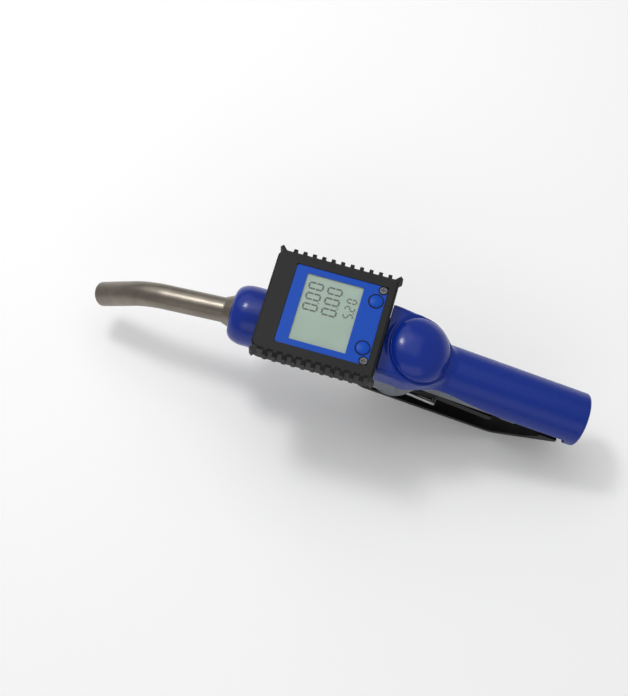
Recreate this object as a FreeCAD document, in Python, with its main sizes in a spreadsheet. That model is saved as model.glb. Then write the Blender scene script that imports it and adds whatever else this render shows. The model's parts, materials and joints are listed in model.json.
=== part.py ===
import FreeCAD, Part
import math
import os
import re
import Sketcher

# A hand-held automatic fuel nozzle with a digital flow meter built into its barrel.
#
# Frame of the part, in millimetres: the origin is the centre of the hose inlet, on the end face of
# the handle.  X runs along the meter barrel, from the spout towards the handle, Z runs up through the
# display, and Y completes the frame.  The nozzle is symmetric about the XZ plane, apart from what
# the display shows.
#
# Four working frames hang on that one, and every piece is placed in one of them:
#   handle  at the inlet, X along the handle and outwards, tilted down from the barrel
#   barrel  under the middle of the display, on the barrel's axis, not tilted
#   valve   where the main valve's axis crosses the barrel's axis, Z up along the valve
#   spout   where the spout's axis leaves the barrel's axis, X along the spout and outwards

Vector = FreeCAD.Vector
doc = FreeCAD.newDocument("metering_nozzle")

SIZES = {
    # overall layout
    "handle_tilt": 11.7,        # degrees between handle and barrel
    "handle_len": 133.0,        # inlet face to the bend, along the handle
    "meter_gap": 68.0,          # bend to the middle of the display, along the barrel
    "valve_gap": 58.2,          # middle of the display to the foot of the valve axis
    "valve_lean": 22.0,         # degrees that the valve axis leans towards the handle
    "spout_gap": 71.0,          # middle of the display to the root of the spout
    "spout_droop": 8.0,         # degrees that the spout's first run drops below the barrel
    # fits
    "running_fit": 0.05,        # radial gap of a shaft in its hole
    "seat_fit": 0.1,            # gap round a piece that sits in another
    "open_gap": 0.4,            # gap between pieces that move past each other
    # spout
    "spout_rad": 9.5,
    "spout_wall": 1.2,
    "spout_run": 72.0,          # root to the corner of the bend
    "spout_bend": 27.6,         # degrees that the tip turns down from the first run
    "spout_turn_rad": 60.0,
    "spout_tip": 47.6,          # corner of the bend to the end
    "spout_hold": 8.0,          # length of tube inside its base
    "vent_rad": 2.2,
    "vent_wall": 0.5,
    "vent_back": 12.0,          # tip of the vent tube behind the tip of the spout
    # spout base, collar and check valve
    "base_flange_rad": 16.9,
    "base_neck_rad": 13.6,
    "base_lip_rad": 10.5,
    "base_flange_back": 5.4,    # flange's front face behind the root of the spout
    "base_flange_len": 6.5,
    "base_neck_len": 7.4,
    "base_cone_len": 7.0,
    "base_lip_len": 1.0,
    "seal_cord": 1.3,           # radius of the larger seal rings' section
    "collar_rad": 22.9,
    "collar_wall": 4.0,
    "collar_front": 75.0,       # front of the collar to the middle of the display
    "collar_back": 46.0,
    "collar_round": 8.0,
    "collar_lip": 6.5,
    "collar_lip_rad": 14.4,
    "nose_front": 53.5,
    "check_seat_back": 31.0,
    "check_seat_thick": 3.0,
    "check_seat_rad": 8.0,
    "check_disc_rad": 10.0,
    "check_disc_thick": 3.0,
    "check_stem_rad": 2.0,
    "check_lift": 4.0,
    "guide_thick": 2.5,
    "guide_hub_rad": 4.0,
    "guide_rim": 2.0,
    "spoke_width": 2.0,
    # meter body
    "meter_bore": 13.0,
    "meter_front_rad": 22.9,
    "meter_rear_rad": 27.0,
    "meter_rear": 44.0,         # middle of the display to the joint with the nozzle body
    "meter_flat": 17.5,         # height of the flat under the register
    "spigot_rad": 21.0,
    "spigot_len": 4.0,
    # turbine
    "rotor_len": 14.0,
    "rotor_back": 2.0,          # middle of the display to the rotor's back
    "rotor_hub_rad": 4.5,
    "rotor_tip_rad": 12.2,
    "blade_thick": 1.4,
    "blade_pitch": 35.0,        # degrees
    "axle_rad": 1.5,
    "vane_len": 10.0,
    "vane_gap": 2.0,
    # register
    "display_height": 47.5,     # top of the bezel above the barrel's axis
    "panel_len": 68.4,
    "panel_width": 62.4,
    "panel_thick": 1.4,
    "panel_round": 2.0,
    "panel_sink": 0.5,          # panel below the bezel's top
    "gasket_thick": 0.4,
    "gasket_lap": 1.2,          # width of the seal under the panel's sides
    "window_len": 42.3,
    "window_width": 52.9,
    "window_shift": 4.05,       # middle of the window ahead of the middle of the panel
    "window_round": 1.0,
    "tray_front": 44.0,
    "tray_back": 38.0,
    "tray_half": 34.0,
    "tray_deep": 21.0,
    "tray_wall_front": 9.0,
    "tray_wall_back": 3.5,
    "tray_wall_side": 3.5,
    "tray_floor": 2.5,
    "saddle_half": 28.9,
    "saddle_foot": 4.0,         # bottom of the saddle above the barrel's axis
    "bezel_front": 50.0,
    "bezel_back": 40.5,
    "bezel_half": 39.8,
    "bezel_foot": 29.0,
    "bezel_round": 6.0,
    "bezel_bevel": 1.6,
    "fin_reach": 3.0,
    "fin_width": 2.8,
    "fin_pitch": 7.13,
    "fin_first": 38.4,          # first fin ahead of the middle of the display
    "fin_lap": 2.2,             # how far a fin runs in over the bezel's top
    "fin_drop": 15.0,
    "fin_round": 2.6,
    "button_rad": 4.85,
    "button_gap": 0.3,
    "button_x": 27.9,
    "button_y": 18.7,
    "button_travel": 0.6,
    "button_proud": 0.4,
    "button_dome": 0.7,         # rise of a button's domed top
    "button_flange": 1.2,
    "screw_x": 31.0,
    "screw_y": 28.2,
    "screw_rad": 1.5,
    "screw_head_rad": 2.7,
    "screw_notch_rad": 3.6,
    "screw_head_thick": 1.2,
    "ear_thick": 0.9,           # bezel's ears under the screw heads
    "screw_long": 10.0,
    "post_rad": 4.2,
    "glass_thick": 1.2,
    "lcd_rim": 2.0,
    "digit_thick": 0.12,
    "digit_tall": 11.2,
    "digit_wide": 5.6,
    "digit_step": 8.4,
    "digit_bar": 0.95,
    "board_thick": 1.6,
    "board_drop": 6.0,          # top of the board below the panel's underside
    "cell_rad": 5.25,
    "cell_len": 44.5,
    "cell_gap": 0.6,
    "sensor_half": 2.2,
    "sensor_back": 6.0,
    "sensor_long": 7.0,
    "sensor_tall": 4.0,
    # nozzle body
    "handle_rad": 18.6,
    "inlet_rad": 12.06,         # minor radius of a G 3/4 thread
    "inlet_len": 20.0,
    "flow_rad": 8.0,
    "flow_rise": 1.0,           # flow bore above the handle's axis
    "tower_rad": 24.4,
    "tower_top": 19.6,
    "tower_foot": 20.0,
    "well_rad": 14.0,
    "well_top": 7.0,
    "well_foot": 14.5,
    "cap_room_rad": 14.0,
    "cap_room_foot": 11.0,
    "link_rad": 3.6,            # passage from the main valve to the well
    "link_drop": 10.5,
    "stop_back": 54.0,          # lug behind the lever's tail
    "stop_long": 12.0,
    "stop_half": 11.0,
    "stop_drop": 26.0,
    # main valve, square to the handle
    "main_back": 112.0,
    "main_rad": 12.5,
    "main_seat_drop": 6.0,
    "main_well_rad": 8.0,
    "main_well_drop": 14.3,
    "plug_top": 11.4,
    "plug_thick": 4.4,
    "plug_hex": 5.0,
    "poppet_rad": 9.6,
    "poppet_thick": 3.5,
    "poppet_seal_thick": 0.9,
    "seat_ring_rad": 11.0,
    "seat_ring_thick": 1.2,
    "seat_ring_bore": 6.6,
    "stem_rad": 2.5,
    "gland_rad": 5.0,
    "gland_long": 4.0,
    "gland_head_rad": 6.5,
    "gland_head": 2.4,
    "stem_gap": 0.15,           # stem's foot above the lever at rest
    "spring_rad": 6.6,
    "spring_wire": 0.8,
    # cap and diaphragm
    "cap_rad": 24.3,
    "cap_lip_rad": 24.8,
    "cap_lip_thick": 1.4,
    "cap_dome": 11.0,           # rise of the dome above the lip
    "cap_wall": 3.0,
    "diaphragm_thick": 1.0,
    "washer_rad": 12.0,
    "washer_thick": 1.2,
    "latch_rad": 2.0,
    "cap_spring_rad": 6.0,
    "cap_spring_wire": 0.6,
    # trip stem, lever and clip; drops are below the handle's axis, backs ahead of the inlet
    "trip_rad": 3.0,
    "trip_eye_drop": 35.0,      # lever pivot below the barrel's axis, along the valve axis
    "trip_head_rad": 5.0,
    "trip_travel": 5.0,
    "trip_gland_rad": 5.5,
    "eye_rad": 5.0,
    "eye_half": 2.9,
    "lever_pin_rad": 2.0,
    "lever_half": 9.5,
    "lever_boss_rad": 5.6,
    "lever_knee_back": 118.0,
    "lever_knee_drop": 29.0,
    "lever_mid_back": 100.0,
    "lever_mid_drop": 28.6,
    "lever_tail_back": 57.5,
    "lever_tail_drop": 33.0,
    "lever_thick": 7.5,
    "clip_back": 131.0,
    "clip_drop": 35.5,
    "clip_reach": 27.0,
    "clip_sag": 8.5,            # degrees that the clip hangs below the handle's line
    "clip_wire": 1.5,
    "clip_half": 12.2,
    "clip_pin_rad": 1.5,
    # guard
    "guard_half": 11.0,
    "guard_thick": 4.0,
    "guard_drop": 62.5,
    "guard_front": 164.0,
    "guard_foot_long": 7.0,
    "guard_corner_rad": 10.0,
    "tongue_back": 163.0,       # tongue at the guard's front, in a slot of the meter body
    "tongue_long": 3.0,
    "tongue_half": 5.0,
    "tongue_drop": 29.0,
    "guard_turn_back": 50.0,
    "guard_tail_back": 25.0,
    "guard_tail_drop": 47.0,
    "guard_end_back": 5.0,
    "pad_back": 12.0,           # middle of the rear pad ahead of the inlet face
    "pad_rad": 6.0,
    "pad_drop": 30.0,
    "guard_screw_rad": 2.0,
    "guard_head_rad": 3.8,
    "guard_head_thick": 2.2,
    # hand cover
    "cover_rad": 20.75,
    "cover_gap": 0.15,
    "cover_ring": 5.0,          # length of the closed ring at the inlet end
    "cover_edge": 1.5,          # lower edge of the cover above the handle's axis
    "cover_edge_front": 8.2,    # the same ahead of the main valve, where the edge steps up
    "cover_step_back": 62.0,
    "cover_rim": 25.8,          # top of the cover round the cap, along the valve axis
    "cover_saddle_half": 27.0,
    "cover_saddle_top": 33.0,
    "cover_saddle_round": 4.0,
    "cover_saddle_on": 8.0,     # how far the saddle runs on behind the foot of the valve axis
    "cover_neck_gap": 0.5,      # front edge of the cover behind the bezel
    "cover_tower_rad": 26.4,
    # strainer
    "strainer_wall": 0.6,
    "strainer_len": 16.0,
    "strainer_rad": 10.6,
    "strainer_rim_thick": 1.2,
    "strainer_slot": 1.6,
}

# Values worked out from the driving sizes, as formulas in a second sheet.
PLACES = {
    "bend_x": "-handle_len * cos(handle_tilt)",
    "barrel_z": "handle_len * sin(handle_tilt)",
    "meter_x": "bend_x - meter_gap",
    "valve_x": "meter_x + valve_gap",
    "spout_x": "meter_x - spout_gap",
    "spout_angle": "180 - spout_droop",
    "panel_top": "display_height - panel_sink",
    "panel_foot": "panel_top - panel_thick",
    "rim_top": "panel_foot - gasket_thick",
    "tray_foot": "rim_top - tray_deep",
    "pocket_foot": "meter_flat + tray_floor",
    "glass_foot": "panel_top - glass_thick",
    "lcd_top": "glass_foot - seat_fit - digit_thick - seat_fit",
    "board_top": "panel_foot - board_drop",
    "rotor_front": "rotor_back + rotor_len",
    "main_seat_top": "seat_ring_thick - main_seat_drop",
    "poppet_foot": "main_seat_top + seat_fit + poppet_seal_thick",
    "poppet_top": "poppet_foot + poppet_thick",
    "plug_foot": "plug_top - plug_thick",
    "cap_lip_foot": "cover_rim + open_gap",
    "cap_lip_top": "cap_lip_foot + cap_lip_thick",
    "cap_top": "cap_lip_top + cap_dome",
    "stem_foot": "-(lever_knee_drop + lever_mid_drop) / 2 + 0.1 + stem_gap",
    "check_seat_front": "check_seat_back + check_seat_thick",
    "check_disc_back": "check_seat_front + seat_fit",
    "check_disc_front": "check_disc_back + check_disc_thick",
    "check_guide_front": "nose_front - 0.5",
}

FRAMES = {
    "handle": ("0", "0", "handle_tilt"),
    "barrel": ("meter_x", "barrel_z", "0"),
    "valve": ("valve_x", "barrel_z", "valve_lean"),
    "spout": ("spout_x", "barrel_z", "spout_angle"),
}

QUARTER = 90.0
FIN_COUNT = 11
nodes = []


# ---------------------------------------------------------------- sheets and expressions

def make_sheets():
    """The driving sizes as plain numbers, and the places worked out from them."""
    sizes = doc.addObject("Spreadsheet::Sheet", "Sizes")
    for row, (name, value) in enumerate(SIZES.items(), 1):
        sizes.set("A%d" % row, name)
        sizes.set("B%d" % row, str(value))
        sizes.setAlias("B%d" % row, name)
    places = doc.addObject("Spreadsheet::Sheet", "Places")
    for row, (name, formula) in enumerate(PLACES.items(), 1):
        places.set("A%d" % row, name)
        places.set("B%d" % row, "=" + worded(formula, own_sheet="Places"))
        places.setAlias("B%d" % row, name)
        doc.recompute()
    return sizes


def worded(text, own_sheet=None):
    """An expression with each size's name led by the name of its sheet."""
    def lead(match):
        word = match.group()
        if word in SIZES:
            return "Sizes." + word
        if word in PLACES:
            return word if own_sheet == "Places" else "Places." + word
        return word
    return re.sub(r"[a-z][a-z_0-9]*", lead, str(text))


def value(text):
    """The number that an expression stands for, read from the sheets."""
    return float(sheet.evalExpression(worded(text)))


def bind(item, **expressions):
    for name, text in expressions.items():
        item.setExpression(name, worded(text))


# ---------------------------------------------------------------- placing

def place(item, frame, x="0", y="0", z="0", turn="0"):
    """Place an object at (x, y, z) of a working frame, turned about Y by the frame's tilt and `turn`."""
    foot_x, foot_z, tilt = FRAMES[frame]
    item.Placement = FreeCAD.Placement(Vector(0, 0, 0), FreeCAD.Rotation(Vector(0, 1, 0), 1.0))
    item.setExpression("Placement.Rotation.Angle", worded("%s + %s" % (tilt, turn)))
    put_base(item, frame, x, y, z)
    return item


def put_base(item, frame, x, y, z):
    foot_x, foot_z, tilt = FRAMES[frame]
    across = "%s + (%s) * cos(%s) + (%s) * sin(%s)" % (foot_x, x, tilt, z, tilt)
    upward = "%s - (%s) * sin(%s) + (%s) * cos(%s)" % (foot_z, x, tilt, z, tilt)
    item.setExpression("Placement.Base.x", worded(across))
    item.setExpression("Placement.Base.y", worded(y))
    item.setExpression("Placement.Base.z", worded(upward))


def place_across(item, frame, x, y, z):
    """Place a primitive whose own axis is to lie along Y."""
    item.Placement = FreeCAD.Placement(Vector(0, 0, 0), FreeCAD.Rotation(Vector(1, 0, 0), -QUARTER))
    put_base(item, frame, x, y, z)
    return item


# ---------------------------------------------------------------- primitives and booleans

def rod(name, frame, radius, start, end, y="0", z="0"):
    """A cylinder along a frame's X, from start to end."""
    item = doc.addObject("Part::Cylinder", name)
    bind(item, Radius=radius, Height="%s - (%s)" % (end, start))
    return place(item, frame, x=start, y=y, z=z, turn="90")


def post(name, frame, radius, foot, top, x="0", y="0"):
    """A cylinder along a frame's Z, from foot to top."""
    item = doc.addObject("Part::Cylinder", name)
    bind(item, Radius=radius, Height="%s - (%s)" % (top, foot))
    return place(item, frame, x=x, y=y, z=foot)


def cross_rod(name, frame, radius, half, x, z):
    """A cylinder along Y, as long as twice its half length."""
    item = doc.addObject("Part::Cylinder", name)
    bind(item, Radius=radius, Height="2 * (%s)" % half)
    return place_across(item, frame, x, "-(%s)" % half, z)


def block(name, frame, x, y, z):
    """A box between two values along each axis of a frame."""
    item = doc.addObject("Part::Box", name)
    bind(item, Length="%s - (%s)" % (x[1], x[0]), Width="%s - (%s)" % (y[1], y[0]),
         Height="%s - (%s)" % (z[1], z[0]))
    return place(item, frame, x=x[0], y=y[0], z=z[0])


def slab(name, frame, half, x, z):
    """A box that reaches as far to each side of the XZ plane."""
    return block(name, frame, x, ("-(%s)" % half, half), z)


def ring(name, frame, radius, cord, x="0", z="0", turn="0"):
    """A seal ring, its axis along the frame's Z, or along X with a turn of 90 degrees."""
    item = doc.addObject("Part::Torus", name)
    bind(item, Radius1=radius, Radius2=cord)
    return place(item, frame, x=x, z=z, turn=turn)


def join(name, *items):
    item = doc.addObject("Part::MultiFuse", name)
    item.Shapes = list(items)
    return item


def cut(name, base, *tools):
    tool = tools[0] if len(tools) == 1 else join(name + "_tools", *tools)
    item = doc.addObject("Part::Cut", name)
    item.Base = base
    item.Tool = tool
    return item


def common(name, *items):
    item = doc.addObject("Part::MultiCommon", name)
    item.Shapes = list(items)
    return item


def group(name, *items):
    """Separate solids kept together as one node."""
    item = doc.addObject("Part::Compound", name)
    item.Links = list(items)
    return item


def node(item, label):
    """Name a finished sub-part: its label is its node's name."""
    item.Label = label
    nodes.append(item)
    return item


# ---------------------------------------------------------------- sketches and bodies

def origin_plane(body, role):
    return next(item for item in body.Origin.OriginFeatures if item.Role == role)


def sketch_on(body, role, name):
    sketch = body.newObject("Sketcher::SketchObject", name)
    sketch.AttachmentSupport = [(origin_plane(body, role), "")]
    sketch.MapMode = "FlatFace"
    return sketch


def pin_point(sketch, geometry, end, x, y):
    """Tie a point of a sketch to two expressions."""
    for text, kind, axis in ((x, "DistanceX", -2), (y, "DistanceY", -1)):
        if str(text) == "0":
            sketch.addConstraint(Sketcher.Constraint("PointOnObject", geometry, end, axis))
            continue
        index = sketch.addConstraint(Sketcher.Constraint(kind, -1, 1, geometry, end, value(text)))
        sketch.setExpression("Constraints[%d]" % index, worded(text))


def arc_between(first, last, radius):
    """An arc from first to last that bulges to the right of that direction, or left if negative."""
    chord = last - first
    half = chord.Length / 2
    rise = math.sqrt(radius * radius - half * half)
    side = Vector(0, 0, 1).cross(chord).normalize() * (1 if radius > 0 else -1)
    middle = first + chord / 2
    centre = middle + side * rise
    top = centre - side * abs(radius)
    return Part.Arc(first, top, last) if radius > 0 else Part.Arc(last, top, first)


def outline(sketch, corners):
    """A closed outline through corners (x, y), or (x, y, radius) where an arc leads to that corner."""
    points = [Vector(value(corner[0]), value(corner[1]), 0) for corner in corners]
    count = len(corners)
    first = sketch.GeometryCount
    for index in range(count):
        start, end = points[index], points[(index + 1) % count]
        target = corners[(index + 1) % count]
        if len(target) == 3:
            sketch.addGeometry(arc_between(start, end, value(target[2])), False)
        else:
            sketch.addGeometry(Part.LineSegment(start, end), False)
    ends = []
    for index in range(count):
        arc = sketch.Geometry[first + index]
        backward = isinstance(arc, Part.ArcOfCircle) and (arc.StartPoint - points[index]).Length > 1e-6
        ends.append((2, 1) if backward else (1, 2))
    for index in range(count):
        following = (index + 1) % count
        sketch.addConstraint(Sketcher.Constraint("Coincident", first + index, ends[index][1],
                                                 first + following, ends[following][0]))
    for index, corner in enumerate(corners):
        pin_point(sketch, first + index, ends[index][0], corner[0], corner[1])
        if len(corner) == 3:
            arc = first + (index - 1) % count
            number = sketch.addConstraint(Sketcher.Constraint("Radius", arc, abs(value(corner[2]))))
            sketch.setExpression("Constraints[%d]" % number, worded("abs(%s)" % corner[2]))
    return sketch


def circle_in(sketch, radius, x="0", y="0"):
    index = sketch.addGeometry(Part.Circle(Vector(value(x), value(y), 0), Vector(0, 0, 1), value(radius)))
    number = sketch.addConstraint(Sketcher.Constraint("Radius", index, value(radius)))
    sketch.setExpression("Constraints[%d]" % number, worded(radius))
    pin_point(sketch, index, 3, x, y)
    return sketch


def new_body(label):
    return doc.addObject("PartDesign::Body", label + "_body")


def turned(label, frame, corners, along="x", x="0", z="0"):
    """A body of revolution: the corners are (along the axis, radius)."""
    body = new_body(label)
    sketch = sketch_on(body, "XZ_Plane", label + "_profile")
    if along == "z":
        corners = [(corner[1], corner[0]) + tuple(corner[2:]) for corner in corners]
    outline(sketch, corners)
    doc.recompute()
    revolution = body.newObject("PartDesign::Revolution", label + "_turn")
    revolution.Profile = sketch
    revolution.ReferenceAxis = (sketch, ["H_Axis" if along == "x" else "V_Axis"])
    revolution.Angle = 360
    doc.recompute()
    return place(body, frame, x=x, z=z)


def padded(label, frame, corners, half, role="XZ_Plane", holes=(), x="0", z="0"):
    """A flat piece padded to both sides of one of its origin planes."""
    body = new_body(label)
    sketch = sketch_on(body, role, label + "_profile")
    outline(sketch, corners)
    for hole in holes:
        circle_in(sketch, *hole)
    doc.recompute()
    pad = body.newObject("PartDesign::Pad", label + "_pad")
    pad.Profile = sketch
    pad.SideType = "Symmetric"
    bind(pad, Length="2 * (%s)" % half)
    doc.recompute()
    return place(body, frame, x=x, z=z)


def plate(label, frame, corners, foot, top, holes=()):
    """A flat piece padded upwards from its foot, its outline seen from above."""
    body = new_body(label)
    sketch = sketch_on(body, "XY_Plane", label + "_outline")
    outline(sketch, corners)
    for hole in holes:
        circle_in(sketch, *hole)
    doc.recompute()
    pad = body.newObject("PartDesign::Pad", label + "_pad")
    pad.Profile = sketch
    bind(pad, Length="%s - (%s)" % (top, foot))
    doc.recompute()
    return place(body, frame, z=foot)


def rounded(body, name, radius, wanted):
    """Round the edges of a body that the test `wanted` picks."""
    doc.recompute()
    tip = body.Tip
    names = ["Edge%d" % (number + 1) for number, edge in enumerate(tip.Shape.Edges) if wanted(edge)]
    if not names:
        raise RuntimeError("no edge to round on " + body.Label)
    fillet = body.newObject("PartDesign::Fillet", name)
    fillet.Base = (tip, names)
    bind(fillet, Radius=radius)
    doc.recompute()
    return body


def rectangle(x, y):
    """The corners of a rectangle between two values on each axis."""
    return [(x[0], y[0]), (x[1], y[0]), (x[1], y[1]), (x[0], y[1])]


def upright(edge):
    """Whether an edge is straight and runs along Z."""
    ends = [vertex.Point for vertex in edge.Vertexes]
    if len(ends) != 2 or not isinstance(edge.Curve, Part.Line):
        return False
    return abs(ends[0].x - ends[1].x) < 1e-6 and abs(ends[0].y - ends[1].y) < 1e-6


# ---------------------------------------------------------------- spout

def spout_path(sketch, run, tip, shift="0"):
    """A first run, a tangent bend and a tip run, kept `shift` to the outer side of the spout's axis."""
    turn = "(spout_turn_rad + (%s))" % shift
    tangent = "spout_turn_rad * tan(spout_bend / 2)"
    radius, angle, level = value(turn), math.radians(value("spout_bend")), -value(shift)
    start = Vector(0, level, 0)
    bend = Vector(value(run) - value(tangent), level, 0)
    centre = bend + Vector(0, radius, 0)
    after = centre + Vector(math.sin(angle), -math.cos(angle), 0) * radius
    middle = centre + Vector(math.sin(angle / 2), -math.cos(angle / 2), 0) * radius
    end = after + Vector(math.cos(angle), math.sin(angle), 0) * (value(tip) - value(tangent))
    sketch.addGeometry(Part.LineSegment(start, bend), False)
    sketch.addGeometry(Part.Arc(bend, middle, after), False)
    sketch.addGeometry(Part.LineSegment(after, end), False)
    sketch.addConstraint(Sketcher.Constraint("Tangent", 0, 2, 1, 1))
    sketch.addConstraint(Sketcher.Constraint("Tangent", 1, 2, 2, 1))
    sketch.addConstraint(Sketcher.Constraint("Horizontal", 0))
    pin_point(sketch, 0, 1, "0", "-(%s)" % shift if shift != "0" else "0")
    sizes = [("DistanceX", (0, 1, 0, 2), "%s - %s" % (run, tangent)),
             ("Radius", (1,), turn),
             ("Distance", (2,), "%s - %s" % (tip, tangent)),
             ("Angle", (0, 1, 2, 1), "spout_bend * 1 deg")]
    for kind, parts, text in sizes:
        number = angle if kind == "Angle" else value(text)
        index = sketch.addConstraint(Sketcher.Constraint(kind, *parts, number))
        sketch.setExpression("Constraints[%d]" % index, worded(text))
    return sketch


def bent_tube(label, radius, wall, run, tip, shift, x):
    """A tube swept along the spout's path, its section a ring that starts at the path's foot."""
    body = new_body(label)
    path = sketch_on(body, "XZ_Plane", label + "_path")
    spout_path(path, run, tip, shift)
    section = sketch_on(body, "YZ_Plane", label + "_section")
    height = "-(%s)" % shift if shift != "0" else "0"
    circle_in(section, radius, "0", height)
    circle_in(section, "%s - %s" % (radius, wall), "0", height)
    doc.recompute()
    pipe = body.newObject("PartDesign::AdditivePipe", label + "_pipe")
    pipe.Profile = section
    pipe.Spine = path
    doc.recompute()
    return place(body, "spout", x=x)


def make_spout_tube():
    tube = bent_tube("spout_tube", "spout_rad", "spout_wall", "spout_run + spout_hold", "spout_tip", "0",
                     "-spout_hold")
    return node(tube, "spout_tube")


def make_vent_tube():
    """The air tube of the automatic shut-off, laid along the outer side of the bend."""
    shift = "spout_rad - spout_wall - vent_rad - open_gap"
    tube = bent_tube("vent_tube", "vent_rad", "vent_wall", "spout_run", "spout_tip - vent_back", shift, "0")
    return node(tube, "vent_tube")


def make_spout_base():
    """The steel cone that carries the spout; its flange is held behind the collar's lip."""
    flange_end = "-base_flange_back"
    neck_end = "%s + base_neck_len" % flange_end
    cone_end = "%s + base_cone_len" % neck_end
    corners = [("%s - base_flange_len" % flange_end, "spout_rad + running_fit"),
               ("%s + base_lip_len" % cone_end, "spout_rad + running_fit"),
               ("%s + base_lip_len" % cone_end, "base_lip_rad"),
               (cone_end, "base_lip_rad"),
               (neck_end, "base_neck_rad"),
               (flange_end, "base_neck_rad"),
               (flange_end, "base_flange_rad"),
               ("%s - base_flange_len" % flange_end, "base_flange_rad")]
    return node(turned("spout_base", "spout", corners), "spout_base")


def make_spout_seal():
    seal = ring("spout_seal_ring", "spout", "base_flange_rad - 2 * seal_cord",
                "seal_cord", x="-base_flange_back - base_flange_len - seal_cord - seat_fit", turn="90")
    return node(seal, "spout_seal")


def make_front_collar():
    """The coloured union that draws the spout base against the meter's nose."""
    bore = "collar_rad - collar_wall"
    lip = "collar_lip_rad"
    corners = [("-collar_front", lip),
               ("-collar_front + collar_lip", lip),
               ("-collar_front + collar_lip", bore),
               ("-collar_back", bore),
               ("-collar_back", "collar_rad"),
               ("-collar_front", "collar_rad")]
    body = turned("front_collar", "barrel", corners)
    front, radius = -value("collar_front"), value("collar_rad")

    def outer_front(edge):
        box = edge.BoundBox
        return abs(box.XMin - front) < 0.01 and abs(box.XMax - front) < 0.01 and box.ZMax > radius - 0.01

    rounded(body, "front_collar_round", "collar_round", outer_front)
    return node(body, "front_collar")


# ---------------------------------------------------------------- check valve and turbine

def spider(label, start, end, rim_rad, hub_rad, hole_rad, spokes):
    """A ring and a hub joined by spokes, across the barrel; the spokes are thin radial plates."""
    rim = cut(label + "_rim", rod(label + "_rim_out", "barrel", rim_rad, start, end),
              rod(label + "_rim_in", "barrel", "%s - guide_rim" % rim_rad, start, end))
    hub = rod(label + "_hub", "barrel", hub_rad, start, end)
    plates = []
    for index in range(spokes):
        item = doc.addObject("Part::Box", "%s_spoke_%d" % (label, index))
        bind(item, Length="%s - (%s)" % (end, start), Width="spoke_width",
             Height="%s - guide_rim / 2" % rim_rad)
        angle = 360.0 * index / spokes
        item.Placement.Rotation = FreeCAD.Rotation(Vector(1, 0, 0), angle)
        across, upward = math.cos(math.radians(angle)), math.sin(math.radians(angle))
        put_base(item, "barrel", start, "-spoke_width / 2 * %.6f" % across,
                 "-spoke_width / 2 * %.6f" % upward)
        plates.append(item)
    whole = join(label + "_whole", rim, hub, *plates)
    return cut(label + "_cut", whole, rod(label + "_hole", "barrel", hole_rad, start, end))


def make_check_valve():
    """A disc on a stem that a spring holds against its seat; fuel pushes it towards the spout."""
    seat = cut("check_seat_cut",
               rod("check_seat_out", "barrel", "meter_bore - seat_fit", "-check_seat_front", "-check_seat_back"),
               rod("check_seat_in", "barrel", "check_seat_rad", "-check_seat_front", "-check_seat_back"))
    node(seat, "check_valve_seat")
    corners = [("-check_disc_back", "0"),
               ("-check_disc_back", "check_disc_rad"),
               ("-check_disc_back - check_disc_thick / 2", "check_disc_rad"),
               ("-check_disc_front", "check_disc_rad * 0.7"),
               ("-check_disc_front", "check_stem_rad"),
               ("-check_guide_front - 1", "check_stem_rad"),
               ("-check_guide_front - 1", "0")]
    node(turned("check_poppet", "barrel", corners), "check_poppet")
    guide = spider("check_guide", "-check_guide_front", "-check_guide_front + guide_thick",
                   "meter_bore - seat_fit", "guide_hub_rad", "check_stem_rad + running_fit", 3)
    node(guide, "check_guide")
    spring = coil("check_spring_coil", "barrel", "guide_hub_rad", "check_lift / 8", 5,
                  "check_guide_front - guide_thick - check_disc_front", "90",
                  x="-check_guide_front + guide_thick")
    node(spring, "check_spring")


def coil(name, frame, radius, wire, turns, length, turn, x="0", z="0"):
    """A helical spring that starts at (x, z) and runs along the frame's Z, turned by `turn` about Y."""
    pitch = "((%s) - 2 * (%s) - 2 * seat_fit) / %d" % (length, wire, turns)
    helix = Part.makeHelix(value(pitch), value(pitch) * turns, value(radius))
    start = Vector(value(radius), 0, 0)
    section = Part.Wire([Part.makeCircle(value(wire), start, Vector(0, 1, 0))])
    pipe = Part.Wire(helix).makePipeShell([section], True, True)
    item = doc.addObject("Part::Feature", name)
    item.Shape = pipe
    lift = "(%s) + seat_fit" % wire
    if turn == "0":
        return place(item, frame, x=x, z="%s + %s" % (z, lift))
    return place(item, frame, x="%s + %s" % (x, lift), z=z, turn=turn)


def make_turbine():
    """The metering rotor on its axle, between two vaned guides that hold the axle's ends."""
    gap = "vane_gap"
    front = ("-rotor_front - %s - vane_len" % gap, "-rotor_front - %s" % gap)
    back = ("-rotor_back + %s" % gap, "-rotor_back + %s + vane_len" % gap)
    for label, span in (("front_flow_guide", front), ("rear_flow_guide", back)):
        guide = spider(label, span[0], span[1], "meter_bore - seat_fit", "rotor_hub_rad",
                       "axle_rad + running_fit", 4)
        node(guide, label)
    axle = rod("axle_rod", "barrel", "axle_rad", "-rotor_front - %s - vane_len / 2" % gap,
               "-rotor_back + %s + vane_len / 2" % gap)
    node(axle, "rotor_axle")
    hub = rod("rotor_hub", "barrel", "rotor_hub_rad", "-rotor_front", "-rotor_back")
    blades = [blade(index, 4) for index in range(4)]
    tips = rod("rotor_sweep", "barrel", "rotor_tip_rad", "-rotor_front", "-rotor_back")
    rotor = common("rotor_trim", join("rotor_whole", hub, *blades), tips)
    bore = rod("rotor_bore", "barrel", "axle_rad", "-rotor_front", "-rotor_back")
    node(cut("rotor_cut", rotor, bore), "turbine_rotor")


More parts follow.
